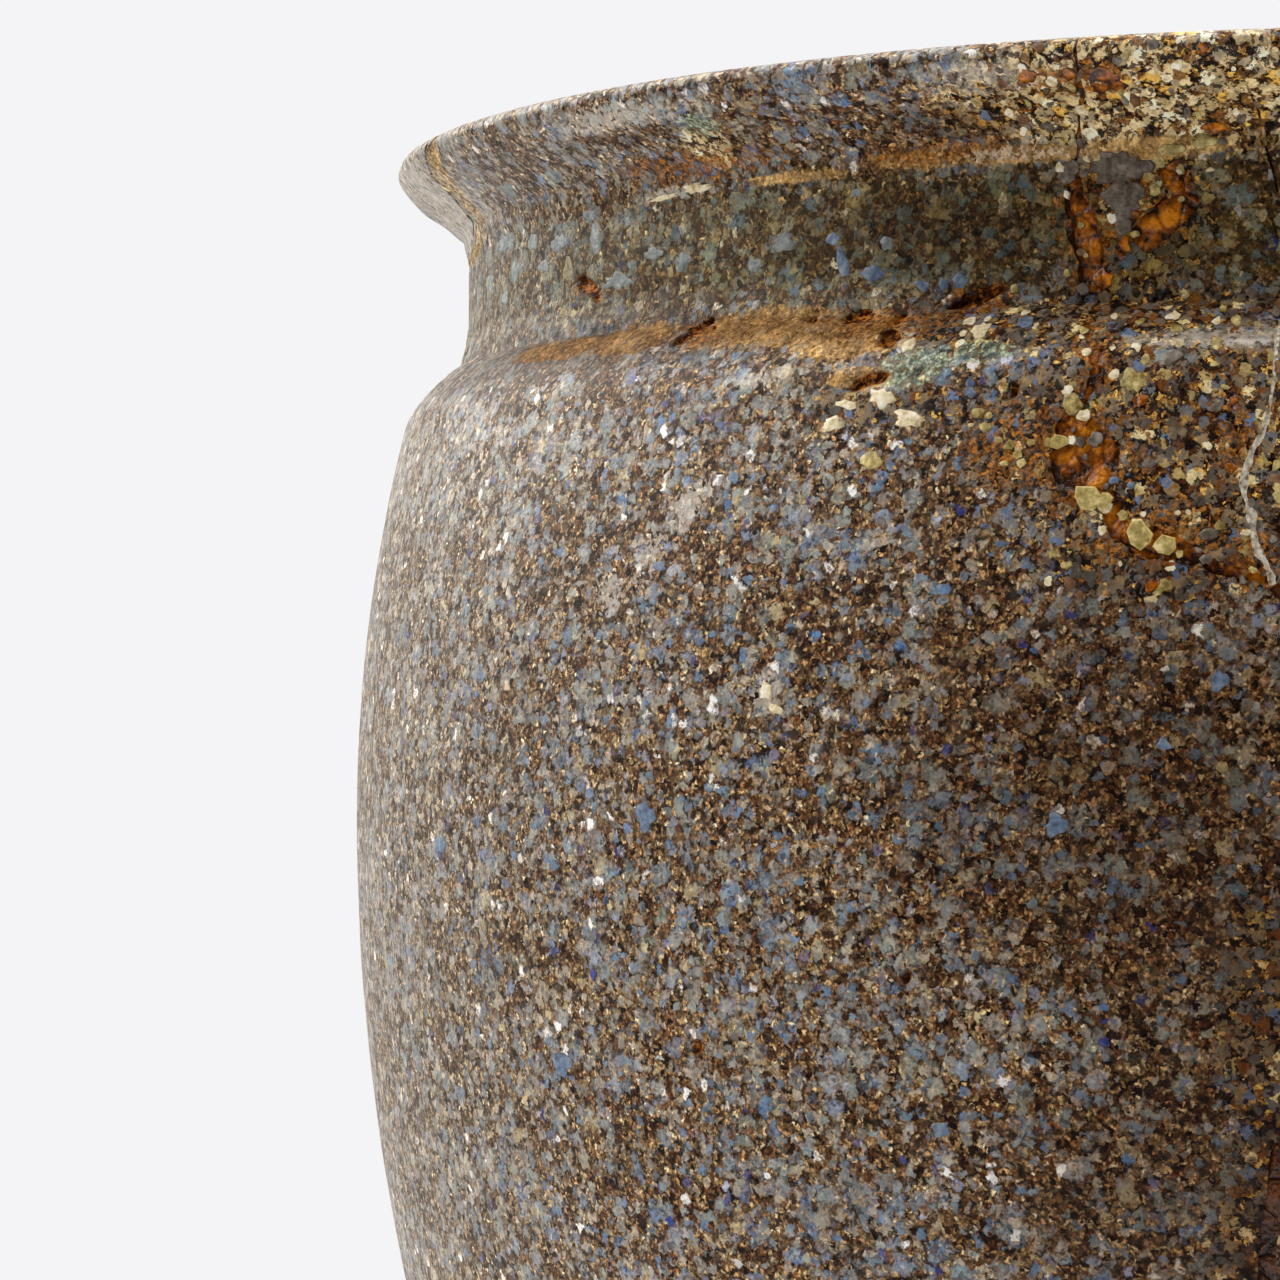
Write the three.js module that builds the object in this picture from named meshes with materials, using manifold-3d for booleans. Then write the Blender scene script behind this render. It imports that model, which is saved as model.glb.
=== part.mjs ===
// Tall pointed jar of speckled stone, mended from its sherds.
// Millimetres and degrees, +Z up, origin at the centre of the foot.
// Azimuth runs from the front (-Y) and is positive towards +X.
import * as THREE from "three";
import { mergeVertices } from "three/addons/utils/BufferGeometryUtils.js";
import Module from "manifold-3d";

// Outside of the vessel
const rimHeight = 132;
const bellyRadius = 39.95;
const rimInset = 1.65;
const neckInset = 4.55;
const shoulderInset = 2;
const neckHeight = 8.4;
const flareHeight = 4.2;
const lipHeight = 1.5;
const lipRound = 0.5;
const lipTurn = 0.75;
const shoulderDrop = 2.4;
const shoulderLean = 0.4;
const bellyDrop = 16;
const lowerCurve = 89;
const bellyTaper = 13;
const footRadius = 8.5;
const footRound = 1.2;

// Inside of the vessel
const bellyWall = 5;
const neckWall = 4.8;
const lipWidth = 3.4;
const lipBevel = 1.1;
const hollowFloor = 14;
const hollowTip = 6;

// Mended joints
const jointClearance = 0.15;
const collarThickness = 0.5;
const hairlineWidth = 0.35;
const plugDepth = 2;
const seamOvershoot = 3;
const cutReach = 10;

// Facets
const facetsRound = 56;
const facetsArc = 5;
const facetsBend = 3;
const facetsSeam = 6;
const facetsDepth = 4;
const facetsSlab = 8;
const seamTurn = 4;
const mergeDistance = 1e-5;

const rimRadius = bellyRadius - rimInset;
const neckRadius = bellyRadius - neckInset;
const shoulderRadius = bellyRadius - shoulderInset;
const creaseHeight = rimHeight - neckHeight;
const flareBase = rimHeight - flareHeight;
const shoulderHeight = creaseHeight - shoulderDrop;
const bellyHeight = shoulderHeight - bellyDrop;
const mouthRadius = rimRadius - lipWidth;
const boreRadius = neckRadius - neckWall;
const wellOutside = bellyRadius + cutReach;
const nearAxis = 1;

const wasm = await Module();
wasm.setup();

const point = (x, y) => new THREE.Vector2(x, y);
const radians = THREE.MathUtils.degToRad;

// A round stretch of the profile about a centre, as points from one angle to another.
function arc(centre, radius, fromDegrees, toDegrees) {
  const points = [];
  for (let i = 0; i <= facetsArc; i += 1) {
    const angle = radians(fromDegrees + ((toDegrees - fromDegrees) * i) / facetsArc);
    points.push(point(centre.x + radius * Math.cos(angle), centre.y + radius * Math.sin(angle)));
  }
  return points;
}

// A circular sweep that leaves a point along a heading and ends on a second point.
function sweep(start, headingDegrees, end) {
  const chord = end.clone().sub(start);
  const heading = point(Math.cos(radians(headingDegrees)), Math.sin(radians(headingDegrees)));
  const half = Math.atan2(heading.cross(chord), heading.dot(chord));
  const points = [];
  for (let i = 0; i <= facetsArc; i += 1) {
    const turn = (2 * half * i) / facetsArc;
    const reach = (chord.length() * Math.sin(turn / 2)) / Math.sin(half);
    const along = heading.clone().rotateAround(point(0, 0), turn / 2);
    points.push(start.clone().addScaledVector(along, reach));
  }
  return points;
}

function bend(start, control, end) {
  return new THREE.QuadraticBezierCurve(start, control, end).getPoints(facetsBend);
}

// The outside runs from the foot up to the rim, the inside from the rim down to the hollow's tip.
function wallProfile() {
  const upperCurve = (bellyDrop ** 2 + shoulderInset ** 2) / (2 * shoulderInset);
  const shoulderAngle = THREE.MathUtils.radToDeg(Math.asin(bellyDrop / upperCurve));
  const lowerCentre = point(bellyRadius - lowerCurve, bellyHeight);
  const upperCentre = point(bellyRadius - upperCurve, bellyHeight);
  const crease = point(neckRadius, creaseHeight);
  const shoulder = point(shoulderRadius, shoulderHeight);
  const shoulderRound = point(shoulderRadius - shoulderLean, creaseHeight - shoulderDrop / 2);
  const lipEdge = point(rimRadius, rimHeight - lipRound);
  const lipUnder = point(rimRadius - lipTurn, rimHeight - lipHeight);
  const belly = arc(lowerCentre, lowerCurve, -bellyTaper, 0);
  const flank = sweep(belly[0], -90 - bellyTaper, point(footRadius + footRound / 2, footRound)).reverse();
  const outside = [
    point(0, 0),
    point(footRadius, 0),
    ...flank,
    ...belly.slice(1),
    ...arc(upperCentre, upperCurve, 0, shoulderAngle).slice(1),
    ...bend(shoulder, shoulderRound, crease).slice(1),
    ...bend(point(neckRadius, flareBase), point(neckRadius, flareBase + lipHeight), lipUnder),
    ...bend(lipUnder, point(rimRadius, rimHeight - lipTurn), lipEdge).slice(1),
    ...bend(lipEdge, point(rimRadius, rimHeight), point(rimRadius - lipBevel, rimHeight)).slice(1),
  ];
  const innerBelly = arc(lowerCentre, lowerCurve - bellyWall, 0, -bellyTaper);
  const innerUpper = arc(upperCentre, upperCurve - bellyWall, shoulderAngle, 0);
  const hollowEnd = point(hollowTip, hollowFloor + hollowTip);
  const inside = [
    ...bend(
      point(mouthRadius + lipBevel, rimHeight),
      point(mouthRadius, rimHeight),
      point(mouthRadius - lipBevel, rimHeight - lipBevel),
    ),
    ...bend(
      point(mouthRadius - lipBevel, rimHeight - lipBevel),
      point(boreRadius, flareBase + lipHeight),
      point(boreRadius, flareBase),
    ).slice(1),
    ...bend(point(boreRadius, creaseHeight), point(boreRadius, shoulderHeight), innerUpper[0]),
    ...innerUpper.slice(1),
    ...innerBelly.slice(1),
    ...sweep(innerBelly[facetsArc], -90 - bellyTaper, hollowEnd).slice(1),
    ...bend(hollowEnd, point(hollowTip / 2, hollowFloor), point(0, hollowFloor)).slice(1),
  ];
  return [...outside, ...inside];
}

function solidOf(geometry) {
  geometry.deleteAttribute("normal");
  geometry.deleteAttribute("uv");
  const merged = mergeVertices(geometry, mergeDistance);
  return new wasm.Manifold(
    new wasm.Mesh({
      numProp: 3,
      vertProperties: Float32Array.from(merged.attributes.position.array),
      triVerts: Uint32Array.from(merged.index.array),
    }),
  );
}

function turned(profile) {
  return solidOf(new THREE.LatheGeometry(profile, facetsRound).rotateX(Math.PI / 2));
}

// A slice of the vessel between two levels.
function band(solid, low, high) {
  const slab = new THREE.CylinderGeometry(wellOutside, wellOutside, high - low, facetsSlab);
  return solid.intersect(solidOf(slab.rotateX(Math.PI / 2).translate(0, 0, (low + high) / 2)));
}

function hull(points) {
  const sorted = [...points].sort((a, b) => a.x - b.x || a.y - b.y);
  const side = (ordered) => {
    const kept = [];
    for (const next of ordered) {
      while (kept.length > 1) {
        const last = kept[kept.length - 1];
        const before = kept[kept.length - 2];
        if (last.clone().sub(before).cross(next.clone().sub(before)) > 0) break;
        kept.pop();
      }
      kept.push(next);
    }
    return kept.slice(0, -1);
  };
  return [...side(sorted), ...side(sorted.reverse())];
}

// An outline on the unrolled wall, cut radially through the wall from a given depth outwards.
function radialCut(outline, innerRadius) {
  const geometry = new THREE.ExtrudeGeometry(new THREE.Shape(outline), {
    depth: wellOutside - innerRadius,
    steps: facetsDepth,
    bevelEnabled: false,
  });
  const spot = geometry.attributes.position;
  for (let i = 0; i < spot.count; i += 1) {
    const angle = spot.getX(i) / bellyRadius;
    const radius = innerRadius + spot.getZ(i);
    spot.setXYZ(i, radius * Math.sin(angle), -radius * Math.cos(angle), spot.getY(i));
  }
  return solidOf(geometry);
}

// Stops added between the given ones, so that no stretch of a crack turns far round the vessel.
function closerStops(stops) {
  const all = [stops[0]];
  for (let i = 1; i < stops.length; i += 1) {
    const count = Math.ceil(Math.abs(stops[i][0] - stops[i - 1][0]) / seamTurn);
    for (let k = 1; k <= count; k += 1) {
      all.push(stops[i].map((value, axis) => THREE.MathUtils.lerp(stops[i - 1][axis], value, k / count)));
    }
    if (count === 0) all.push(stops[i]);
  }
  return all;
}

// A crack that wanders over the wall: each stop has an azimuth, a level and the crack's width there.
function seam(stops, extra, innerRadius) {
  const discs = closerStops(stops).map(([azimuth, level, width]) => {
    const middle = point(radians(azimuth) * bellyRadius, level);
    const rim = [];
    for (let i = 0; i < facetsSeam; i += 1) {
      const angle = (2 * Math.PI * (i + 0.5)) / facetsSeam;
      const reach = width / 2 + extra;
      rim.push(point(middle.x + reach * Math.cos(angle), middle.y + reach * Math.sin(angle)));
    }
    return rim;
  });
  let whole = null;
  for (let i = 1; i < discs.length; i += 1) {
    const stretch = radialCut(hull([...discs[i - 1], ...discs[i]]), innerRadius);
    whole = whole ? whole.add(stretch) : stretch;
  }
  return whole;
}

// Levels for the cracks: down from the rim on the neck, down from the crease on the body.
const belowRim = (drop) => rimHeight - drop;
const belowCrease = (drop) => creaseHeight - drop;
const aboveRim = rimHeight + seamOvershoot;
const underCollar = creaseHeight - seamOvershoot;
const overCollar = creaseHeight + seamOvershoot;

const neckFrontBreak = [
  [-11.6, aboveRim, 0.7],
  [-11.6, belowRim(0.9), 1.8],
  [-11.7, belowRim(1.8), 1.5],
  [-12.4, belowRim(2.8), 0.5],
  [-12.9, belowRim(3.7), 0.4],
  [-12.7, belowRim(4.9), 0.9],
  [-12.4, belowRim(6.1), 1.3],
  [-12.2, belowRim(7.3), 1.4],
  [-12.4, underCollar, 1],
];
const neckBackBreak = [
  [101, aboveRim, 0.5],
  [99, belowRim(2.2), 0.6],
  [96, belowRim(4.6), 0.4],
  [97.5, belowRim(6.5), 0.6],
  [98, underCollar, 0.5],
];
const lipBreak = [
  [-60, aboveRim, 0.6],
  [-61.2, belowRim(0.5), 0.7],
  [-62.8, belowRim(1.1), 0.9],
  [-64.4, belowRim(1.7), 1.1],
  [-65.8, belowRim(2.5), 1.3],
  [-67, belowRim(3.3), 1],
  [-69, belowRim(3.9), 0.6],
  [-76, belowRim(4.3), 0.45],
  [-85, belowRim(4), 0.45],
  [-92, belowRim(3), 0.5],
  [-97, belowRim(1.6), 0.6],
  [-99, aboveRim, 0.5],
];
const shoulderBreak = [
  [-12.4, overCollar, 0.8],
  [-11.2, belowCrease(1.4), 0.6],
  [-10.7, belowCrease(2.6), 0.6],
  [-11.9, belowCrease(4.2), 1],
  [-11.4, belowCrease(5), 2.2],
  [-10.8, belowCrease(5.8), 1.7],
  [-9.8, belowCrease(6.9), 0.9],
  [-7.9, belowCrease(7.9), 1],
  [-5.9, belowCrease(8.6), 0.8],
  [-4.2, belowCrease(9), 0.4],
  [-2, belowCrease(9.4), hairlineWidth],
];
const calciteVein = [
  [-1.6, overCollar, hairlineWidth],
  [-2.4, belowCrease(3), hairlineWidth],
  [-2.5, belowCrease(4.5), hairlineWidth],
  [-3.5, belowCrease(5.7), hairlineWidth],
  [-3.5, belowCrease(6.7), hairlineWidth],
  [-3, belowCrease(8), hairlineWidth],
  [-2, belowCrease(9.4), hairlineWidth],
];
const sideBreak = [
  [-2, belowCrease(9.4), hairlineWidth],
  [0.6, belowCrease(12), 0.45],
  [1.6, belowCrease(17), 0.5],
  [0.4, belowCrease(23), 0.5],
  [-1.9, belowCrease(27.4), 0.45],
  [-2.5, belowCrease(31.2), 0.6],
  [-3.4, belowCrease(38), 0.6],
  [-1, belowCrease(46), 0.5],
  [9, belowCrease(57), 0.5],
  [30, belowCrease(64), 0.6],
  [56, belowCrease(61), 0.5],
  [80, belowCrease(52), 0.6],
  [97, belowCrease(38), 0.5],
  [104, belowCrease(23), 0.6],
  [99, belowCrease(10), 0.5],
  [105, overCollar, 0.6],
];
const neckPlug = [
  [-7.9, belowRim(4), 0.9],
  [-7, belowRim(5.2), 1.2],
  [-8.5, belowRim(5.9), 1.2],
  [-9.6, belowRim(6.6), 0.8],
];

const fillOf = (wall, stops) => wall.intersect(seam(stops, 0, nearAxis));
const widened = (stops) => seam(stops, jointClearance, nearAxis);

// The pieces that a broken wall falls into, the largest first.
function sherds(wall, breaks) {
  const parted = breaks.reduce((left, stops) => left.subtract(widened(stops)), wall);
  return parted.decompose().sort((a, b) => b.volume() - a.volume());
}

const wall = turned(wallProfile());
const collarTop = creaseHeight - jointClearance;
const collarFoot = collarTop - collarThickness;
const neck = band(wall, creaseHeight, rimHeight + seamOvershoot);
const collar = band(wall, collarFoot, collarTop);
const body = band(wall, -seamOvershoot, collarFoot - jointClearance);

const [neckLeft, neckRight, lipChip] = sherds(neck, [neckFrontBreak, neckBackBreak, lipBreak]);
const [bodyMain, bodySide, shoulderChip] = sherds(body, [shoulderBreak, calciteVein, sideBreak]);
const plugFloor = neckRadius - plugDepth;
const plug = neck.intersect(seam(neckPlug, 0, plugFloor));
const plugSocket = seam(neckPlug, jointClearance, plugFloor - jointClearance);

const stone = { color: 0x87796a, roughness: 0.35, metalness: 0 };
const tanFill = { color: 0xb08a50, roughness: 0.55, metalness: 0 };
const amberResin = { color: 0xa85412, roughness: 0.22, metalness: 0 };
const darkResin = { color: 0x5a2a0e, roughness: 0.3, metalness: 0 };
const calcite = { color: 0xb4b4aa, roughness: 0.4, metalness: 0 };

const pieces = [
  ["body_main", bodyMain, stone],
  ["body_side_sherd", bodySide, stone],
  ["shoulder_sherd", shoulderChip, stone],
  ["neck_left_sherd", neckLeft, stone],
  ["neck_right_sherd", neckRight.subtract(plugSocket), stone],
  ["lip_sherd", lipChip, stone],
  ["neck_collar_fill", collar, tanFill],
  ["lip_joint_fill", fillOf(neck, lipBreak), tanFill],
  ["neck_front_resin", fillOf(neck, neckFrontBreak), amberResin],
  ["neck_back_resin", fillOf(neck, neckBackBreak), darkResin],
  ["neck_resin_plug", plug, amberResin],
  ["shoulder_joint_resin", fillOf(body, shoulderBreak), amberResin],
  ["calcite_vein", fillOf(body, calciteVein).subtract(widened(shoulderBreak)), calcite],
  [
    "body_side_resin",
    fillOf(body, sideBreak).subtract(widened(shoulderBreak)).subtract(widened(calciteVein)),
    darkResin,
  ],
];

const jar = new THREE.Group();
for (const [name, solid, finish] of pieces) {
  const shape = solid.getMesh();
  const geometry = new THREE.BufferGeometry();
  geometry.setAttribute("position", new THREE.BufferAttribute(shape.vertProperties, 3));
  geometry.setIndex(new THREE.BufferAttribute(shape.triVerts, 1));
  geometry.computeVertexNormals();
  const mesh = new THREE.Mesh(geometry, new THREE.MeshStandardMaterial(finish));
  mesh.name = name;
  jar.add(mesh);
}

export default jar;
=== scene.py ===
import math

import bmesh
import bpy
import numpy as np
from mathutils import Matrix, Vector, noise


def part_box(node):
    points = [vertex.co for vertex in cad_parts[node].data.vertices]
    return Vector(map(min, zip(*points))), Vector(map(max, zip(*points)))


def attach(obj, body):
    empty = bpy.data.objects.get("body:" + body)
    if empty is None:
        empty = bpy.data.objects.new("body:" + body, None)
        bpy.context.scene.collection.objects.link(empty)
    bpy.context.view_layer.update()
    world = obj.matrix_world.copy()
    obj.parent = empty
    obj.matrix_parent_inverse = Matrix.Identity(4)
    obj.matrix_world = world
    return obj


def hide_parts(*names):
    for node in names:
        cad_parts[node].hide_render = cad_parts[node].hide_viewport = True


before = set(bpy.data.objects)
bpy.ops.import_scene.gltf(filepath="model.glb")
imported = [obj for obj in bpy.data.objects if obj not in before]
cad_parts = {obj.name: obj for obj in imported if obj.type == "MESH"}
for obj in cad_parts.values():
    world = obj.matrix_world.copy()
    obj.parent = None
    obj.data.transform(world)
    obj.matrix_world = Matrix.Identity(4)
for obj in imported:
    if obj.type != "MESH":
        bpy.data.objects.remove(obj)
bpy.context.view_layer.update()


# The viewpoint: a level camera a little under the rim, close in front of the jar and turned to its
# left, so that the jar's axis lies just past the right edge of the picture.
EYE_DISTANCE = 0.160
EYE_HEIGHT = 0.1125
EYE_TURN = math.radians(10.16)
LENS_MM = 106.7
SENSOR_MM = 36.0
NEAR_CLIP = 0.01

eye = bpy.data.objects.new("eye", bpy.data.cameras.new("eye"))
eye.data.lens = LENS_MM
eye.data.sensor_width = SENSOR_MM
eye.data.clip_start = NEAR_CLIP
eye.location = (0, -EYE_DISTANCE, EYE_HEIGHT)
eye.rotation_euler = (math.pi / 2, 0, EYE_TURN)
bpy.context.scene.collection.objects.link(eye)
bpy.context.scene.camera = eye


# The vessel's wall: a hard granular stone, drilled hollow and ground to a turned form with a flared
# lip, a short neck, a crease, a full shoulder and a body that tapers to a narrow foot. Azimuths are
# in degrees from the front towards the right, and all sizes here are in millimetres.
MM = 0.001
RIM_HEIGHT = 132.0
BELLY_RADIUS = 39.95
RIM_RADIUS = 38.3
NECK_RADIUS = 35.4
SHOULDER_RADIUS = 37.95
CREASE = 123.6
FLARE_BASE = 127.8
SHOULDER = 121.2
BELLY = 105.2
LOWER_CURVE = 89.0
BELLY_TAPER = math.radians(13)
FOOT_RADIUS = 8.5
FOOT_ROUND = 1.2
BELLY_WALL = 5.0
MOUTH_RADIUS = 34.9
BORE_RADIUS = 30.6
HOLLOW_FLOOR = 14.0
HOLLOW_TIP = 6.0
SHOULDER_INSET = BELLY_RADIUS - SHOULDER_RADIUS
SHOULDER_ARC = ((SHOULDER - BELLY) ** 2 + SHOULDER_INSET ** 2) / (2 * SHOULDER_INSET)
SHOULDER_TURN = math.asin((SHOULDER - BELLY) / SHOULDER_ARC)
SHOULDER_BEND = (SHOULDER_RADIUS - 0.4, 122.4)
FLARE_BEND = 129.3
LIP_UNDERSIDE = (RIM_RADIUS - 0.75, 130.5)
LIP_CORNER = 131.25
LIP_FACE_TOP = 131.5
LIP_ROUND = 1.1
LIP_TOP = (RIM_RADIUS - LIP_ROUND, RIM_HEIGHT)
MOUTH_EDGE = (MOUTH_RADIUS - LIP_ROUND, 130.9)


def arc(centre, radius, start, stop, count=40):
    """A round stretch of the outline about a centre."""
    turn = np.linspace(start, stop, count)
    return np.stack([centre[0] + radius * np.cos(turn), centre[1] + radius * np.sin(turn)], 1)


def sweep(start, heading, end, count=60):
    """A circular stretch that leaves one point along a heading and ends on another."""
    chord = np.subtract(end, start)
    half = math.atan2(chord[1], chord[0]) - heading
    half = (half + math.pi) % (2 * math.pi) - math.pi
    turn = np.linspace(0, 2 * half, count)
    reach = np.linalg.norm(chord) * np.sin(turn / 2) / math.sin(half)
    angle = heading + turn / 2
    return np.stack([start[0] + reach * np.cos(angle), start[1] + reach * np.sin(angle)], 1)


def bend(start, control, end, count=24):
    """A quadratic curve between two points."""
    t = np.linspace(0, 1, count)[:, None]
    return (1 - t) ** 2 * np.array(start) + 2 * t * (1 - t) * np.array(control) + t ** 2 * np.array(end)


def outside_outline():
    """The jar's outside from the edge of the foot up to the top of the lip."""
    belly = arc((BELLY_RADIUS - LOWER_CURVE, BELLY), LOWER_CURVE, -BELLY_TAPER, 0)
    flank = sweep(belly[0], -math.pi / 2 - BELLY_TAPER, (FOOT_RADIUS + FOOT_ROUND / 2, FOOT_ROUND))
    return np.concatenate([
        [(FOOT_RADIUS, 0)],
        flank[::-1],
        belly[1:],
        arc((BELLY_RADIUS - SHOULDER_ARC, BELLY), SHOULDER_ARC, 0, SHOULDER_TURN)[1:],
        bend((SHOULDER_RADIUS, SHOULDER), SHOULDER_BEND, (NECK_RADIUS, CREASE))[1:],
        bend((NECK_RADIUS, FLARE_BASE), (NECK_RADIUS, FLARE_BEND), LIP_UNDERSIDE),
        bend(LIP_UNDERSIDE, (RIM_RADIUS, LIP_CORNER), (RIM_RADIUS, LIP_FACE_TOP))[1:],
        bend((RIM_RADIUS, LIP_FACE_TOP), (RIM_RADIUS, RIM_HEIGHT), LIP_TOP)[1:],
    ])


def inside_outline():
    """The hollow's outline from the lip down to its tip."""
    shoulder = arc((BELLY_RADIUS - SHOULDER_ARC, BELLY), SHOULDER_ARC - BELLY_WALL, SHOULDER_TURN, 0)
    belly = arc((BELLY_RADIUS - LOWER_CURVE, BELLY), LOWER_CURVE - BELLY_WALL, 0, -BELLY_TAPER)
    tip = (HOLLOW_TIP, HOLLOW_FLOOR + HOLLOW_TIP)
    return np.concatenate([
        bend((MOUTH_RADIUS + LIP_ROUND, RIM_HEIGHT), (MOUTH_RADIUS, RIM_HEIGHT), MOUTH_EDGE),
        bend(MOUTH_EDGE, (BORE_RADIUS, FLARE_BEND), (BORE_RADIUS, FLARE_BASE))[1:],
        bend((BORE_RADIUS, CREASE), (BORE_RADIUS, SHOULDER), shoulder[0]),
        shoulder[1:],
        belly[1:],
        sweep(belly[-1], -math.pi / 2 - BELLY_TAPER, tip)[1:],
        bend(tip, (HOLLOW_TIP / 2, HOLLOW_FLOOR), (0, HOLLOW_FLOOR))[1:],
    ])


OUTSIDE = outside_outline()
INSIDE = inside_outline()


def radius_at(level):
    """The outside radius at a level."""
    return np.interp(level, OUTSIDE[:, 1], OUTSIDE[:, 0])


def bore_at(level):
    """The hollow's radius at a level."""
    return np.interp(level, INSIDE[::-1, 1], INSIDE[::-1, 0])


def rough(points, scale, seed=0.0):
    """Smooth random values between about -1 and 1 at the points."""
    shift = Vector((seed * 17.3, seed * 5.1, seed * 9.7))
    return np.array([noise.noise(Vector(p) * scale + shift) for p in points])


def soft_step(low, high, value):
    """0 below low, 1 above high and a soft step between them."""
    t = np.clip((value - low) / (high - low), 0, 1)
    return t * t * (3 - 2 * t)


def on_wall(radius, azimuth, level):
    """Points from a radius, an azimuth in radians and a level."""
    return np.stack([radius * np.sin(azimuth), -radius * np.cos(azimuth), level], -1)


def patches(azimuth, level, spots):
    """How strongly oval spots cover places on the wall: 1 in the middle of a spot, 0 outside."""
    cover = np.zeros_like(level)
    for turn, height, across, tall, *slant in spots:
        u = (azimuth - math.radians(turn)) * NECK_RADIUS
        v = level - height
        lean = math.radians(slant[0]) if slant else 0
        along = (u * math.cos(lean) + v * math.sin(lean)) / (across / 2)
        beside = (v * math.cos(lean) - u * math.sin(lean)) / (tall / 2)
        cover = np.maximum(cover, 1 - (along ** 2 + beside ** 2) / 2)
    return np.clip(cover, 0, 1)


# Azimuth, level, width, height and slant of the places where grains have fallen out of the stone.
PITS = (
    (-48.4, 125.4, 2.4, 0.55, -28), (-36.5, 123.25, 1.3, 0.6, 40), (-25.2, 123.35, 1.2, 0.55, 0),
    (-22.6, 123.2, 0.6, 0.5, 0), (-22.4, 122.5, 0.8, 0.7, 0), (-18.5, 123.85, 2.5, 0.5, 18),
    (-23.0, 121.05, 1.7, 0.5, 15), (-14.9, 120.6, 0.3, 0.7, 20), (-26.0, 112.8, 0.4, 0.3, 0),
    (-35.2, 123.3, 0.35, 0.25, 0), (-28.1, 123.35, 0.4, 0.25, 0), (-27.1, 123.35, 0.4, 0.25, 0),
    (-31.5, 98.8, 0.5, 0.4, 0), (-19.5, 101.5, 0.4, 0.3, 20))
PIT_DEPTH = 0.32
LEDGE = 129.05
LEDGE_DEPTH = 0.26
LEDGE_WIDTH = 0.26
GRIND_WAVE = 0.14
GRIND_RIPPLE = 0.03
GRIND_LOSS = 0.05
OUTER_SKIN = 0.4


def pit_share(points, azimuth, level):
    """How far down each place lies in one of the pits, from 0 to 1."""
    cover = patches(azimuth, level, PITS)
    near = cover > 0
    cover[near] += rough(points[near], 1.7, 3) * 0.3 + rough(points[near], 4.5, 4) * 0.2
    return soft_step(0.4, 0.85, cover)


def ground(radius, azimuth, level):
    """The radius with the unevenness of hand grinding, the ledge under the flare and the pits."""
    points = on_wall(radius, azimuth, level)
    drift = rough(points, 0.045) * GRIND_WAVE + rough(points, 0.32, 1) * GRIND_RIPPLE - GRIND_LOSS
    outer = radius > radius_at(level) - OUTER_SKIN
    ledge = LEDGE_DEPTH * np.exp(-((level - LEDGE) / LEDGE_WIDTH) ** 2)
    ledge = ledge * np.clip(0.65 + 0.7 * rough(points * (1, 1, 0), 0.12, 2), 0.1, 1)
    pits = PIT_DEPTH * pit_share(points, azimuth, level)
    return radius + drift - np.where(outer, ledge + pits, 0)


def spaced(outline, gap):
    """The outline's points again, set apart by a gap that may change with the level."""
    step = np.linalg.norm(np.diff(outline, axis=0), axis=1)
    middle = (outline[1:, 1] + outline[:-1, 1]) / 2
    count = np.concatenate([[0], np.cumsum(step / gap(middle))])
    at = np.linspace(0, count[-1], max(2, int(math.ceil(count[-1])) + 1))
    return np.stack([np.interp(at, count, outline[:, 0]), np.interp(at, count, outline[:, 1])], 1)


def azimuths(close, far, first=-84, last=8):
    """Azimuths round the jar in radians, close together on the side that the picture shows."""
    near = np.radians(np.arange(first, last, close))
    rest = np.radians(np.arange(last, first + 360, far))
    return np.concatenate([near, rest])


def solid(name, points, faces):
    """A mesh object from points in millimetres."""
    mesh = bpy.data.meshes.new(name)
    mesh.from_pydata((np.asarray(points) * MM).tolist(), [], faces)
    mesh.update()
    piece = bpy.data.objects.new(name, mesh)
    bpy.context.scene.collection.objects.link(piece)
    return piece


def turned(name, outline, around, shape):
    """A closed turned solid: a ring, or a form whose outline starts and ends on the axis."""
    poles = outline[0, 0] == 0
    rings = outline[1:-1] if poles else outline
    rows, columns = len(rings), len(around)
    azimuth = np.tile(around, rows)
    level = np.repeat(rings[:, 1], columns)
    radius = shape(np.repeat(rings[:, 0], columns), azimuth, level)
    points = on_wall(radius, azimuth, level)
    index = np.arange(rows * columns).reshape(rows, columns)
    low, high = index, np.roll(index, -1, 0)
    if poles:
        low, high = index[:-1], index[1:]
    faces = np.stack([low, np.roll(low, -1, 1), np.roll(high, -1, 1), high], 2).reshape(-1, 4).tolist()
    if poles:
        start, end = rows * columns, rows * columns + 1
        points = np.concatenate([points, [(0, 0, outline[0, 1]), (0, 0, outline[-1, 1])]])
        faces += [(start, b, a) for a, b in zip(index[0].tolist(), np.roll(index[0], -1).tolist())]
        faces += [(end, a, b) for a, b in zip(index[-1].tolist(), np.roll(index[-1], -1).tolist())]
    return solid(name, points, faces)


COLLAR_DEPTH = 0.75
COLLAR_LOW = CREASE - COLLAR_DEPTH
NECK_SEAT_RADII = (32.0, 33.5)
BODY_SEAT_RADII = (34.0, 32.0)
FOOT_FACE_RADIUS = 4
BODY_LEVELS = (0, 84, 88, 112, 116)
NECK_OUTSIDE = np.concatenate([[(NECK_RADIUS, CREASE)], OUTSIDE[OUTSIDE[:, 1] > CREASE]])
BODY_OUTSIDE = OUTSIDE[OUTSIDE[:, 1] < COLLAR_LOW]
NECK_INSIDE = np.concatenate([INSIDE[INSIDE[:, 1] > CREASE], [(BORE_RADIUS, CREASE)]])
BODY_INSIDE = np.concatenate([[(BORE_RADIUS, COLLAR_LOW)], INSIDE[INSIDE[:, 1] < COLLAR_LOW]])


def neck_loop(fine, coarse, inset=0.0):
    """The closed outline of the neck ring, drawn in by an inset."""
    return np.concatenate([
        spaced(NECK_OUTSIDE - (inset, 0), lambda z: np.full_like(z, fine)),
        spaced(NECK_INSIDE + (inset, 0), lambda z: np.full_like(z, coarse)),
        [(r, CREASE) for r in NECK_SEAT_RADII],
    ])


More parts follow.
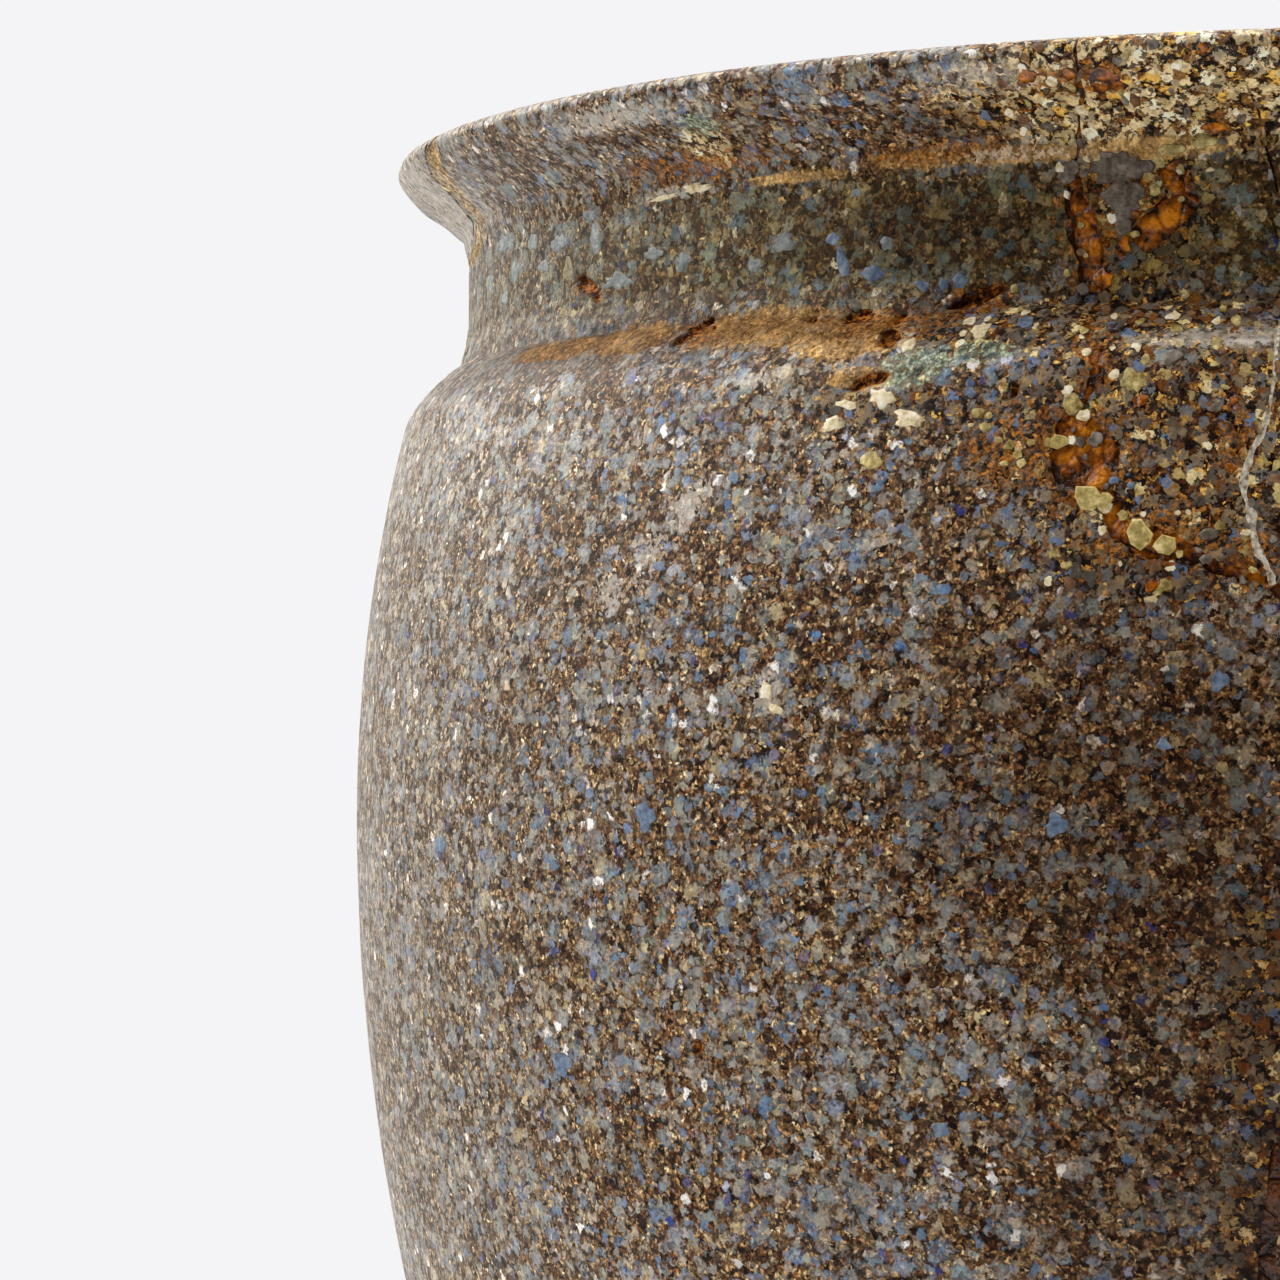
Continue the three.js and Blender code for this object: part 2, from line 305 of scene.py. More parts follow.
def body_loop(fine, coarse, inset=0.0):
    """The closed outline of the body from the foot's middle to the hollow's tip."""
    gaps = (BODY_LEVELS, (coarse, coarse, fine * 2, fine * 2, fine))
    return np.concatenate([
        [(0, 0), (FOOT_FACE_RADIUS, 0)],
        spaced(BODY_OUTSIDE - (inset, 0), lambda z: np.interp(z, *gaps)),
        [(r, COLLAR_LOW) for r in BODY_SEAT_RADII],
        spaced(BODY_INSIDE + (inset, 0), lambda z: np.full_like(z, coarse))[:-1],
        [(0, HOLLOW_FLOOR)],
    ])


neck_wall = turned("neck_wall", neck_loop(fine=0.16, coarse=0.6), azimuths(close=0.24, far=1.2), ground)
body_wall = turned("body_wall", body_loop(fine=0.2, coarse=1.2), azimuths(close=0.38, far=2.0), ground)


# The breaks: the jar was once broken, and each break is a line down or round the wall that parts
# two sherds. Each stop of a line gives its azimuth, its level and the width of the open joint.
OVER_RIM = RIM_HEIGHT + 3
NECK_FRONT_BREAK = (
    (-11.6, OVER_RIM, 0.12), (-11.6, 131.1, 0.12), (-11.7, 130.2, 0.14), (-12.4, 129.2, 0.12),
    (-12.9, 128.3, 0.2), (-12.7, 127.1, 0.8), (-12.3, 125.9, 1.25), (-12.0, 124.8, 1.0),
    (-12.2, 123.9, 0.6), (-12.4, 122.4, 0.6))
NECK_BACK_BREAK = (
    (101, OVER_RIM, 0.5), (99, 129.8, 0.6), (96, 127.4, 0.4), (97.5, 125.5, 0.6), (98, 122.4, 0.5))
LIP_BREAK = (
    (-60, OVER_RIM, 0.6), (-61.2, 131.5, 0.7), (-62.8, 130.9, 0.9), (-64.4, 130.3, 1.1),
    (-65.8, 129.5, 1.3), (-67, 128.7, 1.0), (-69, 128.1, 0.6), (-76, 127.7, 0.45), (-85, 128, 0.45),
    (-92, 129, 0.5), (-97, 130.4, 0.6), (-99, OVER_RIM, 0.5))
SHOULDER_BREAK = (
    (-12.4, 124.4, 0.5), (-11.2, 122.4, 0.5), (-10.8, 121.6, 0.6), (-10.8, 120.8, 0.35),
    (-11.5, 119.9, 0.3), (-11.9, 119.4, 1.2), (-11.3, 118.6, 2.5), (-10.9, 117.8, 2.1),
    (-10.2, 117.0, 0.8), (-9.3, 116.3, 0.7), (-7.9, 115.7, 1.0), (-6.2, 115.4, 0.8), (-4.6, 114.8, 0.3),
    (-2.0, 114.2, 0.2))
VEIN = (
    (-1.6, 124.4, 0.04), (-2.2, 121.0, 0.04), (-2.4, 119.5, 0.1), (-3.3, 118.1, 0.2),
    (-3.5, 117.3, 0.14), (-2.9, 115.6, 0.2), (-2.0, 114.2, 0.14))
SIDE_BREAK = (
    (-2, 114.2, 0.35), (0.6, 111.6, 0.45), (1.6, 106.6, 0.5), (0.4, 100.6, 0.5), (-1.9, 96.2, 0.45),
    (-2.5, 92.4, 0.6), (-3.4, 85.6, 0.6), (-1, 77.6, 0.5), (9, 66.6, 0.5), (30, 59.6, 0.6),
    (56, 62.6, 0.5), (80, 71.6, 0.6), (97, 85.6, 0.5), (104, 100.6, 0.6), (99, 113.6, 0.5),
    (105, 124.4, 0.6))
NECK_PLUG = (
    (-7.9, 128, 0.9), (-7.0, 126.8, 1.2), (-8.5, 126.1, 1.2), (-9.6, 125.4, 0.8))
RIM_CRACK = (
    (-3.6, 130.3, 0.02), (-3.0, 129.5, 0.05), (-2.8, 128.6, 0.07), (-2.4, 127.7, 0.05),
    (-2.2, 127.0, 0.02))
LIP_CRACK = (
    (-62.6, 131.6, 0.08), (-64.6, 130.9, 0.2), (-66.4, 130.2, 0.24), (-68.0, 129.3, 0.26),
    (-69.4, 128.6, 0.2))

# How each band is cut: how ragged its sides are, how deep it goes if not through the wall, and the
# spacing of its points.
CUTS = {
    "neck_front": (NECK_FRONT_BREAK, {"ragged": 0.2, "seed": 1}),
    "neck_back": (NECK_BACK_BREAK, {"seed": 2}),
    "lip": (LIP_BREAK, {"ragged": 0.07, "seed": 3}),
    "neck_plug": (NECK_PLUG, {"ragged": 0.16, "depth": 2.0, "seed": 4}),
    "rim_crack": (RIM_CRACK, {"ragged": 0.08, "depth": 0.25, "step": 0.12, "seed": 8}),
    "lip_crack": (LIP_CRACK, {"ragged": 0.05, "depth": 0.45, "step": 0.12, "seed": 9}),
    "shoulder": (SHOULDER_BREAK, {"ragged": 0.24, "seed": 5}),
    "vein": (VEIN, {"ragged": 0.1, "step": 0.12, "seed": 6}),
    "side": (SIDE_BREAK, {"ragged": 0.08, "step": 0.4, "seed": 7}),
}
CUT_OVERSHOOT = 1.2
LEAST_HALF_WIDTH = 0.05
JOINT_SPARE = 0.03


def ribbon(name, stops, spare=0.0, ragged=0.1, depth=None, step=0.2, seed=0.0):
    """A band through the wall along a break, with ragged sides."""
    turn, level, width = np.array(stops, float).T
    across = np.radians(turn) * BELLY_RADIUS
    length = np.concatenate([[0], np.cumsum(np.hypot(np.diff(across), np.diff(level)))])
    at = np.linspace(0, length[-1], int(length[-1] / step) + 2)
    u, v, w = (np.interp(at, length, values) for values in (across, level, width))
    line = np.stack([at, 0 * at, 0 * at], 1)
    u = u + rough(line, 0.9, seed + 1) * ragged
    v = v + rough(line, 0.9, seed + 2) * ragged
    run = np.hypot(np.gradient(u), np.gradient(v))
    side = (-np.gradient(v) / run, np.gradient(u) / run)
    rails = []
    for hand in (1, -1):
        jag = (rough(line, 1.9, seed + 3 + hand) + 0.6 * rough(line, 4.3, seed + 6 + hand)) * ragged
        half = hand * np.maximum(w / 2 + spare + jag, LEAST_HALF_WIDTH)
        azimuth, height = (u + side[0] * half) / BELLY_RADIUS, v + side[1] * half
        outer = radius_at(height) + CUT_OVERSHOOT
        inner = bore_at(height) - CUT_OVERSHOOT if depth is None else radius_at(height) - depth
        rails.append((on_wall(outer, azimuth, height), on_wall(inner, azimuth, height)))
    points = np.stack([rails[0][0], rails[0][1], rails[1][1], rails[1][0]], 1).reshape(-1, 3)
    faces = [(0, 1, 2, 3), tuple(range(len(points) - 4, len(points)))[::-1]]
    for station in range(0, len(points) - 4, 4):
        for corner in range(4):
            a, b = station + corner, station + (corner + 1) % 4
            faces.append((a, a + 4, b + 4, b))
    piece = solid(name, points, faces)
    outward = bmesh.new()
    outward.from_mesh(piece.data)
    bmesh.ops.recalc_face_normals(outward, faces=outward.faces)
    outward.to_mesh(piece.data)
    outward.free()
    return piece


def band(name, spare=0.0):
    """The band of one of the breaks, wider by a spare on each side."""
    stops, how = CUTS[name]
    return ribbon(name, stops, spare=spare, **how)


def carve(base, tool, how="DIFFERENCE"):
    """Cuts one solid by another, keeps the result as the first one's mesh and removes the second."""
    step = base.modifiers.new("carve", "BOOLEAN")
    step.operation = how
    step.solver = "MANIFOLD"
    step.object = tool
    graph = bpy.context.evaluated_depsgraph_get()
    cut = bpy.data.meshes.new_from_object(base.evaluated_get(graph))
    base.modifiers.clear()
    base.data = cut
    bpy.data.objects.remove(tool)


def loose_parts(wall, count):
    """The largest loose parts of a cut wall, each as an object of its own."""
    edges = np.empty(len(wall.data.edges) * 2, int)
    wall.data.edges.foreach_get("vertices", edges)
    first, second = edges.reshape(-1, 2).T
    label = np.arange(len(wall.data.vertices))
    changed = True
    while changed:
        least = np.minimum(label[first], label[second])
        joined = label.copy()
        np.minimum.at(joined, first, least)
        np.minimum.at(joined, second, least)
        joined = joined[joined]
        changed = (joined != label).any()
        label = joined
    names, sizes = np.unique(label, return_counts=True)
    parts = []
    for name in names[np.argsort(-sizes)[:count]]:
        mesh = bmesh.new()
        mesh.from_mesh(wall.data)
        mesh.verts.ensure_lookup_table()
        others = [mesh.verts[i] for i in np.flatnonzero(label != name).tolist()]
        bmesh.ops.delete(mesh, geom=others, context="VERTS")
        parts.append(solid("sherd", np.empty((0, 3)), []))
        mesh.to_mesh(parts[-1].data)
        mesh.free()
    bpy.data.objects.remove(wall)
    return parts


def unlike(part, node):
    """How far the box of a loose part lies from the box of a node."""
    low, high = np.array(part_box(node))
    places = np.array([v.co for v in part.data.vertices])
    return np.abs(places.min(0) - low).sum() + np.abs(places.max(0) - high).sum()


def sherds(wall, *nodes):
    """The sherds that a cut wall falls into, each with the node that it stands for."""
    parts = loose_parts(wall, len(nodes))
    return {node: min(parts, key=lambda part: unlike(part, node)) for node in nodes}


for name in ("neck_front", "neck_back", "lip", "neck_plug", "rim_crack", "lip_crack"):
    carve(neck_wall, band(name))
for name in ("shoulder", "vein", "side"):
    carve(body_wall, band(name))
stones = sherds(neck_wall, "neck_left_sherd", "neck_right_sherd", "lip_sherd")
stones.update(sherds(body_wall, "body_main", "body_side_sherd", "shoulder_sherd"))


# The stone's finish: polished granular rock of blue-grey, grey and cream grains in a fine brown
# matrix, stained by iron along the breaks. The rim and the left side are painted paler and greyer,
# a painted reflection of the bright surround, pale glints are painted where the lights catch the
# wall, and painted shade darkens the crease and the neck under the lip. Each spot gives its
# azimuth, level, width, height and slant.
RUST_SPOTS = (
    (-12.2, 126.0, 2.2, 4.4), (-8.3, 126.6, 1.9, 2.4), (-11, 121.7, 1.6, 2.6), (-11.4, 118.5, 4.4, 3.0),
    (-7.8, 115.8, 4.4, 2.2), (-4.0, 119, 1.4, 3.0), (-3.0, 115, 1.6, 2.0), (-22.3, 123.0, 4.5, 1.2),
    (-36.4, 123.2, 2.4, 1.1), (-49, 125.5, 2.0, 0.9), (-12, 130.7, 3.5, 1.0), (-20.5, 128.75, 6.5, 0.8),
    (-37, 129.1, 8.0, 1.0), (-18.4, 123.8, 3.0, 1.0), (-14.8, 118.6, 3.0, 3.0))
SAND_SPOTS = (
    (-49, 123.1, 6, 0.8), (-41.5, 123.2, 4.0, 1.1), (-31.2, 123.2, 6.5, 1.4), (-25, 122.7, 4.5, 1.6),
    (-23, 121.2, 2.5, 0.9), (-16, 128.55, 5.0, 0.6), (-9, 128.6, 5.5, 0.7), (-20.5, 128.65, 6.0, 0.7),
    (-30, 128.4, 5.0, 0.4))
CRUMB_SPOTS = (
    (-7, 130.3, 15, 3.6), (-8, 119.3, 9.5, 8.0), (-9.5, 126.2, 5.0, 5.0), (-16.5, 122.8, 6.0, 1.8),
    (-9, 123.2, 9.0, 1.6), (-14.8, 118.5, 2.6, 2.6), (-21, 120.2, 6.0, 1.2), (-35, 129.6, 2.2, 1.3),
    (-7, 115.2, 7.0, 3.0), (-2, 100, 3.0, 9.0), (-3, 90, 3, 12))
GREEN_SPOTS = (
    (-20.4, 121.5, 2.8, 1.3, 12), (-16.8, 121.95, 2.4, 0.7), (-34.5, 130.3, 1.7, 0.7))
# The sheen spots paint the stone pale where the lights glint on the shoulder, the ledge under the flare,
# the belly and the lip: painted highlights and glare. The same spots raise the coat.
SHEEN_SPOTS = (
    (-16.5, 130.9, 3.4, 1.2), (-29.8, 121.3, 3.0, 0.7), (-33, 117.1, 1.2, 2.8, -35),
    (-35.5, 115.4, 1.6, 1.8, -30), (-38, 114.2, 1.8, 1.4, -30), (-5.3, 122.15, 6.0, 0.8),
    (-39, 128.35, 5.0, 0.5), (-16, 128.6, 4.0, 0.5), (-27.2, 110.7, 1.4, 1.7),
    (-22, 115.6, 3.0, 0.35, 8), (-72, 130, 13, 4.0), (-40, 130.9, 9.0, 1.0))
# The dark spots darken the crease at the left and the neck under the lip, as painted shade, and darken the
# front of the belly.
SHADE_AND_DARK_SPOTS = (
    (-20, 126.3, 12, 2.5), (-19, 129.6, 4.0, 1.2), (-8, 108, 14, 12), (-4, 104, 9, 12),
    (-2, 94, 13, 14), (-50, 122.9, 20, 2.4), (-33, 123.2, 9, 1.0), (-25, 122.9, 5, 0.8))
SKIN_DEPTH = 1.2
# The top of the rim is painted pale as well: a painted reflection of the bright surround.
RIM_SHEEN_LEVELS = (131.1, 131.7)
RIM_SHEEN = 0.55
# Between these levels the neck is painted darker and more olive: partly the stone's own olive tint, partly
# painted shade under the overhanging lip.
OLIVE_STARTS = (123.0, 125.0)
OLIVE_ENDS = (127.2, 129.6)


def weathered(piece):
    """Writes where a piece is rusty, sandy, crumbled, green, olive, dark, pitted or has painted sheen."""
    places = np.empty(len(piece.data.vertices) * 3)
    piece.data.vertices.foreach_get("co", places)
    points = places.reshape(-1, 3) / MM
    azimuth = np.arctan2(points[:, 0], -points[:, 1])
    level = points[:, 2]
    outer = np.hypot(points[:, 0], points[:, 1]) > radius_at(level) - SKIN_DEPTH
    ripple = rough(points, 0.7, 5) * 0.3

    def layer(spots):
        return np.where(outer, np.clip(patches(azimuth, level, spots) + ripple * 0.5, 0, 1), 0)

    rim = soft_step(*RIM_SHEEN_LEVELS, level) * RIM_SHEEN
    neck = soft_step(*OLIVE_STARTS, level) * (1 - soft_step(*OLIVE_ENDS, level))
    olive = np.where(outer, np.clip(neck + ripple, 0, 1), 0)
    stain = np.stack([layer(RUST_SPOTS), layer(SAND_SPOTS), layer(CRUMB_SPOTS), layer(GREEN_SPOTS)], 1)
    sheen = np.maximum(layer(SHEEN_SPOTS), rim)
    pits = np.where(outer, pit_share(points, azimuth, level), 0)
    tone = np.stack([olive, sheen, layer(SHADE_AND_DARK_SPOTS), pits], 1)
    for name, values in (("stain", stain), ("tone", tone)):
        record = piece.data.attributes.new(name, "FLOAT_COLOR", "POINT")
        record.data.foreach_set("color", values.ravel())


class Signal:
    """One socket of a material's nodes, on which sums are written as plain expressions."""

    def __init__(self, tree, socket=None):
        self.tree = tree
        self.socket = socket

    def node(self, kind, sockets=None, settings=None, output=0):
        """Any node: its type, the values or links of its sockets, its settings and its output."""
        made = self.tree.nodes.new("ShaderNode" + kind)
        for name, value in (settings or {}).items():
            if name == "stops":
                ramp = made.color_ramp
                while len(ramp.elements) < len(value):
                    ramp.elements.new(0.5)
                for element, (at, colour) in zip(ramp.elements, value):
                    element.position = at
                    element.color = (*colour, 1)
            elif name == "steps":
                made.color_ramp.interpolation = value
            else:
                setattr(made, name, value)
        for name, value in (sockets or {}).items():
            if isinstance(value, Signal):
                self.tree.links.new(value.socket, made.inputs[name])
            else:
                made.inputs[name].default_value = value
        return Signal(self.tree, made.outputs[output])

    def also(self, output):
        """Another output of the same node."""
        return Signal(self.tree, self.socket.node.outputs[output])

    def math(self, how, first, second):
        """A Math node on two values."""
        return self.node("Math", {0: first, 1: second}, {"operation": how})

    def vector(self, how, first, second=None, scale=None):
        """A Vector Math node on one vector and a second one or a scale."""
        sockets = {0: first}
        if second is not None:
            sockets[1] = second
        if scale is not None:
            sockets["Scale"] = scale
        return self.node("VectorMath", sockets, {"operation": how})

    def __add__(self, other):
        return self.math("ADD", self, other)

    def __sub__(self, other):
        return self.math("SUBTRACT", self, other)

    def __mul__(self, other):
        return self.math("MULTIPLY", self, other)

    def __radd__(self, other):
        return self.math("ADD", other, self)

    def __rsub__(self, other):
        return self.math("SUBTRACT", other, self)

    def __rmul__(self, other):
        return self.math("MULTIPLY", other, self)

    def __lt__(self, other):
        return self.math("LESS_THAN", self, other)

    def __gt__(self, other):
        return self.math("GREATER_THAN", self, other)

    def between(self, low, high):
        """0 below low, 1 above high and a soft step between them."""
        return self.node("MapRange", {0: self, 1: low, 2: high}, {"interpolation_type": "SMOOTHSTEP"})

    def blend(self, first, second):
        """A colour that goes from the first to the second as this value goes from 0 to 1."""
        pair = [c if isinstance(c, Signal) else (*c, 1) for c in (first, second)]
        return self.node("Mix", {0: self, 6: pair[0], 7: pair[1]}, {"data_type": "RGBA"}, 2)

    def tint(self, colour, filter_colour):
        """A colour multiplied by a filter as far as this value says."""
        return self.node("Mix", {0: self, 6: colour, 7: (*filter_colour, 1)}, {
            "data_type": "RGBA", "blend_type": "MULTIPLY"}, 2)

    def shaded(self, value):
        """This colour made lighter or darker by a value."""
        grey = (value, value, value, 1)
        if isinstance(value, Signal):
            grey = self.node("CombineColor", {0: value, 1: value, 2: value})
        return self.node("Mix", {0: 1.0, 6: self, 7: grey}, {
            "data_type": "RGBA", "blend_type": "MULTIPLY", "clamp_result": True}, 2)

    def ramp(self, stops, steps="LINEAR"):
        """A colour from stops along this value."""
        return self.node("ValToRGB", {0: self}, {"steps": steps, "stops": stops})


def finish(name):
    """A new material, a way to feed its shader's sockets, and the start of its expressions."""
    made = bpy.data.materials.new(name)
    made.use_nodes = True
    tree = made.node_tree
    shader = next(n for n in tree.nodes if n.type == "BSDF_PRINCIPLED")

    def feed(socket, value):
        if isinstance(value, Signal):
            tree.links.new(value.socket, shader.inputs[socket])
        else:
            shader.inputs[socket].default_value = value

    return made, feed, Signal(tree)


def place_in_mm(start):
    """The place on the piece, in millimetres."""
    return start.vector("SCALE", start.node("TexCoord", output="Object"), scale=1 / MM)


MATRIX_COLOURS = (
    (0.00, (0.006, 0.002, 0.001)), (0.18, (0.042, 0.015, 0.006)), (0.36, (0.150, 0.062, 0.021)),
    (0.54, (0.250, 0.130, 0.058)), (0.66, (0.310, 0.200, 0.112)), (0.78, (0.360, 0.225, 0.105)),
    (0.90, (0.470, 0.330, 0.165)), (1.00, (0.640, 0.530, 0.370)))
# The last stop of the small grains is near white: painted sparkle glints on a few grains.
SMALL_COLOURS = (
    (0.00, (0.58, 0.50, 0.40)), (0.18, (0.34, 0.33, 0.31)), (0.34, (0.27, 0.31, 0.34)),
    (0.50, (0.19, 0.28, 0.40)), (0.60, (0.37, 0.39, 0.34)), (0.72, (0.42, 0.41, 0.43)),
    (0.82, (0.14, 0.25, 0.44)), (0.90, (0.60, 0.50, 0.30)), (0.955, (0.02, 0.06, 0.33)),
    (0.97, (0.95, 0.93, 0.92)))
LARGE_COLOURS = (
    (0.00, (0.41, 0.37, 0.32)), (0.22, (0.27, 0.31, 0.34)), (0.42, (0.33, 0.36, 0.32)),
    (0.58, (0.18, 0.29, 0.41)), (0.72, (0.41, 0.40, 0.41)), (0.84, (0.14, 0.25, 0.44)),
    (0.94, (0.51, 0.44, 0.29)))
CREAM_LUMPS = (
    (0.00, (0.74, 0.61, 0.37)), (0.22, (0.58, 0.47, 0.26)), (0.44, (0.78, 0.65, 0.42)),
    (0.60, (0.46, 0.38, 0.25)), (0.74, (0.28, 0.15, 0.05)), (0.81, (0.80, 0.52, 0.15)),
    (0.88, (0.96, 0.86, 0.66)))
GREY_LUMPS = (
    (0.00, (0.25, 0.20, 0.14)), (0.22, (0.14, 0.12, 0.10)), (0.40, (0.32, 0.24, 0.14)),
    (0.55, (0.20, 0.20, 0.21)), (0.70, (0.46, 0.36, 0.17)), (0.80, (0.22, 0.09, 0.02)),
    (0.89, (0.17, 0.23, 0.36)), (0.95, (0.78, 0.66, 0.40)))
GAP_COLOURS = (
    (0.0, (0.002, 0.001, 0.001)), (0.40, (0.016, 0.005, 0.001)), (0.66, (0.09, 0.034, 0.007)),
    (0.84, (0.26, 0.12, 0.025)), (1.0, (0.68, 0.45, 0.13)))
TAN_SAND = ((0.28, 0.155, 0.05), (0.80, 0.55, 0.25))
RUST_COLOURS = ((0.08, 0.028, 0.006), (0.42, 0.19, 0.036))
LEAF_COLOURS = ((0.06, 0.09, 0.06), (0.42, 0.48, 0.36))
PIT_COLOURS = ((0.05, 0.012, 0.003), (0.62, 0.22, 0.03))
PALE_MATRIX = (0.37, 0.33, 0.26)
NECK_OLIVE_AND_SHADE_MATRIX = (0.10, 0.085, 0.06)
OLIVE_AND_SHADE_TINT = (0.82, 0.78, 0.56)
DARK_TINT = (0.60, 0.53, 0.46)
SHEEN_COLOUR = (0.63, 0.60, 0.54)
GLARE_COLOUR = (1.13, 0.99, 0.80)
STONE_GAMMA = 1.25
STONE_GAIN = 1.36
FLANK_REACH = (-20.0, -38.0)
CREAM_LEVELS = (126.0, 128.6)
FINE_CELLS = 6.4
SMALL_CELLS = 2.7
LARGE_CELLS = 1.35
LUMP_CELLS = 2.3
SMALL_SHARE = 0.53
LARGE_SHARE = 0.38
BUMP_DEPTH = 0.06 * MM


def granular_finish(name, sandiness, polish, sand_colours=TAN_SAND):
    """Granular stone or filler with stains that follow what is written on the piece."""
    made, feed, start = finish(name)
    place = place_in_mm(start)
    stain = start.node("Attribute", settings={"attribute_name": "stain"})
    tone = start.node("Attribute", settings={"attribute_name": "tone"})
    stain_parts = start.node("SeparateColor", {0: stain})
    tone_parts = start.node("SeparateColor", {0: tone})
    rust, sand, crumbly, green = stain_parts, stain_parts.also(1), stain_parts.also(2), stain.also("Alpha")
    olive, sheen, dark, pit = tone_parts, tone_parts.also(1), tone_parts.also(2), tone.also("Alpha")
    # flank marks the jar's left side, where the stone is painted paler and greyer: a painted reflection of
    # the bright surround at the grazing edge. There it also gets more grains, less coat and darker sand.
    flank = start.node("SeparateXYZ", {0: place}).between(*FLANK_REACH)
    height = start.node("SeparateXYZ", {0: place}, output=2).between(*CREAM_LEVELS)

    def cloudy(scale, detail, roughness=0.5, output=0):
        sockets = {"Vector": place, "Scale": scale, "Detail": detail, "Roughness": roughness}
        return start.node("TexNoise", sockets, output=output)

    stir = start.vector("SUBTRACT", cloudy(3.4, 4.0, 0.6, "Color"), (0.5, 0.5, 0.5))
    ragged = start.vector("ADD", place, start.vector("SCALE", stir, scale=0.6))
    drift = cloudy(0.22, 4.0)
    fray = cloudy(4.2, 3.0, 0.6)
    grit = cloudy(9.0, 2.0)
    veil = cloudy(1.1, 3.0).between(0.42, 0.75)

    def cells(scale):
        near = start.node("TexVoronoi", {"Vector": ragged, "Scale": scale})
        parts = start.node("SeparateColor", {0: near.also("Color")})
        return near, parts, parts.also(1), parts.also(2)

    fine, fine_kind, fine_light, fine_pick = cells(FINE_CELLS)
    rims = 1 - fine.between(0.25, 0.7) * 0.6
    speck = grit.between(0.3, 0.7) * 1.1 + 0.55
    matrix = fine_kind.ramp(MATRIX_COLOURS).shaded((0.55 + fine_light * 0.9) * rims * speck)

    def grains(scale, reach, share):
        near, kind, light, pick = cells(scale)
        mask = 1 - ((fray - 0.5) * 1.1 + near).between(reach - 0.24, reach + 0.1)
        return mask * (pick < share) * (0.55 + light * 0.45), kind

    wealth = (drift - 0.5) * 1.5 - dark * 0.12 + flank * 0.14
    small, small_kind = grains(SMALL_CELLS, 0.62, SMALL_SHARE + wealth)
    large, large_kind = grains(LARGE_CELLS, 0.56, LARGE_SHARE + wealth)
    through = 1 - (fine_pick < 0.3) * 0.6
    mottled = fray * 1.6 + grit * 0.5 - 0.05
    # The matrix is paler in random patches and, on the left side, as a painted reflection.
    colour = ((veil * 0.2 + flank * 0.16) * through).blend(matrix, PALE_MATRIX)
    # On the neck the matrix is darkened: partly its own colour, partly painted shade under the lip.
    colour = (olive * (1 - flank) * 0.5 * through).blend(colour, NECK_OLIVE_AND_SHADE_MATRIX)
    colour = (large * through).blend(colour, large_kind.ramp(LARGE_COLOURS).shaded(mottled))
    colour = (small * through).blend(colour, small_kind.ramp(SMALL_COLOURS).shaded(mottled))

    lump, lump_kind = cells(LUMP_CELLS)[:2]
    lumps = height.blend(lump_kind.ramp(GREY_LUMPS, "CONSTANT"), lump_kind.ramp(CREAM_LUMPS, "CONSTANT"))
    gaps = fine_kind.ramp(GAP_COLOURS).shaded(speck)
    gap = ((fray - 0.5) * 0.9 + lump).between(0.50, 0.66)
    lumps = start.math("MAXIMUM", gap, (fine_pick < 0.24) * 0.85).blend(lumps.shaded(mottled), gaps)
    crumbled = (crumbly + (fray - 0.5) * 0.9).between(0.3, 0.62)
    colour = (crumbled * 0.92).blend(colour, lumps)
    # The neck is tinted olive and darker, partly as painted shade under the lip.
    colour = olive.tint(colour, OLIVE_AND_SHADE_TINT)

    frayed = (fray - 0.5) * 1.4
    sandy = (sand + sandiness + frayed * 0.7 + (fine_pick - 0.5) * 0.3).between(0.35, 0.7)
    sand_colour = fine_light.blend(*sand_colours)
    colour = (sandy * 0.75).blend(colour, sand_colour.shaded(0.3 + veil * 0.45 + speck * 0.5 - flank * 0.4))
    # The dark spots darken the colour: painted shade in the crease and under the lip, and a darker belly
    # front.
    colour = dark.tint(colour, DARK_TINT)
    rusty = (rust + frayed + (fine_kind - 0.5) * 0.9).between(0.62, 0.9)
    colour = (rusty * 0.8).blend(colour, fine_light.blend(*RUST_COLOURS).shaded(speck))
    leafy = (green + frayed).between(0.35, 0.7) * (1 - (fine_pick < 0.3) * 0.8)
    leaf = fray.between(0.35, 0.65).blend(*LEAF_COLOURS)
    colour = (leafy * 0.8).blend(colour, leaf.shaded(speck))
    # Where the sheen is high, the colour turns pale: a painted highlight.
    pale = (sheen + frayed + (fine_light - 0.5) * 0.6).between(0.55, 0.95)
    colour = (pale * 0.5).blend(colour, SHEEN_COLOUR)
    # On the left side the colour is turned paler and grey: a painted reflection of the bright surround.
    painted_glare = start.node("RGBToBW", {"Color": colour}).blend((0.0, 0.0, 0.0), GLARE_COLOUR)
    colour = (flank * (1 - sandy) * 0.5).blend(colour, painted_glare)
    colour = start.node("Gamma", {"Color": colour, "Gamma": STONE_GAMMA}).shaded(STONE_GAIN)
    hollow = pit.between(0.15, 0.6)
    inside = (fray + (fine_light - 0.5) * 0.4).between(0.4, 0.75).blend(*PIT_COLOURS)
    feed("Base Color", hollow.blend(colour, inside))

    body = start.math("MAXIMUM", start.math("MAXIMUM", small, large), crumbled * (1 - gap))
    feed("Roughness", 0.46 - body * 0.12 + sandy * 0.3 + hollow * 0.3)
    feed("Specular IOR Level", 0.1)
    if polish:
        shine = start.math("MAXIMUM", pale, body * 0.55 + 0.05)
        feed("Coat Weight", shine * (1 - flank * 0.9) * polish)
    feed("Coat Roughness", 0.18)
    feed("Coat IOR", 1.22)
    relief = body * (0.5 + crumbled * 1.2) + fine_light * rims * 0.6 + grit * 0.3
    feed("Normal", start.node("Bump", {"Strength": 0.5, "Distance": BUMP_DEPTH, "Height": relief}))
    return made


CRISP_EDGE = math.radians(38)


def dressed(piece, name, material, node=None):
    """Gives a piece its name, its finish, smooth faces with crisp edges and its place on the body."""
    piece.name = name
    piece.data.name = name
    piece.data.materials.clear()
    piece.data.materials.append(material)
    piece.data.shade_smooth()
    piece.data.set_sharp_from_angle(angle=CRISP_EDGE)
    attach(piece, "root")
    if node:
        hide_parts(node)


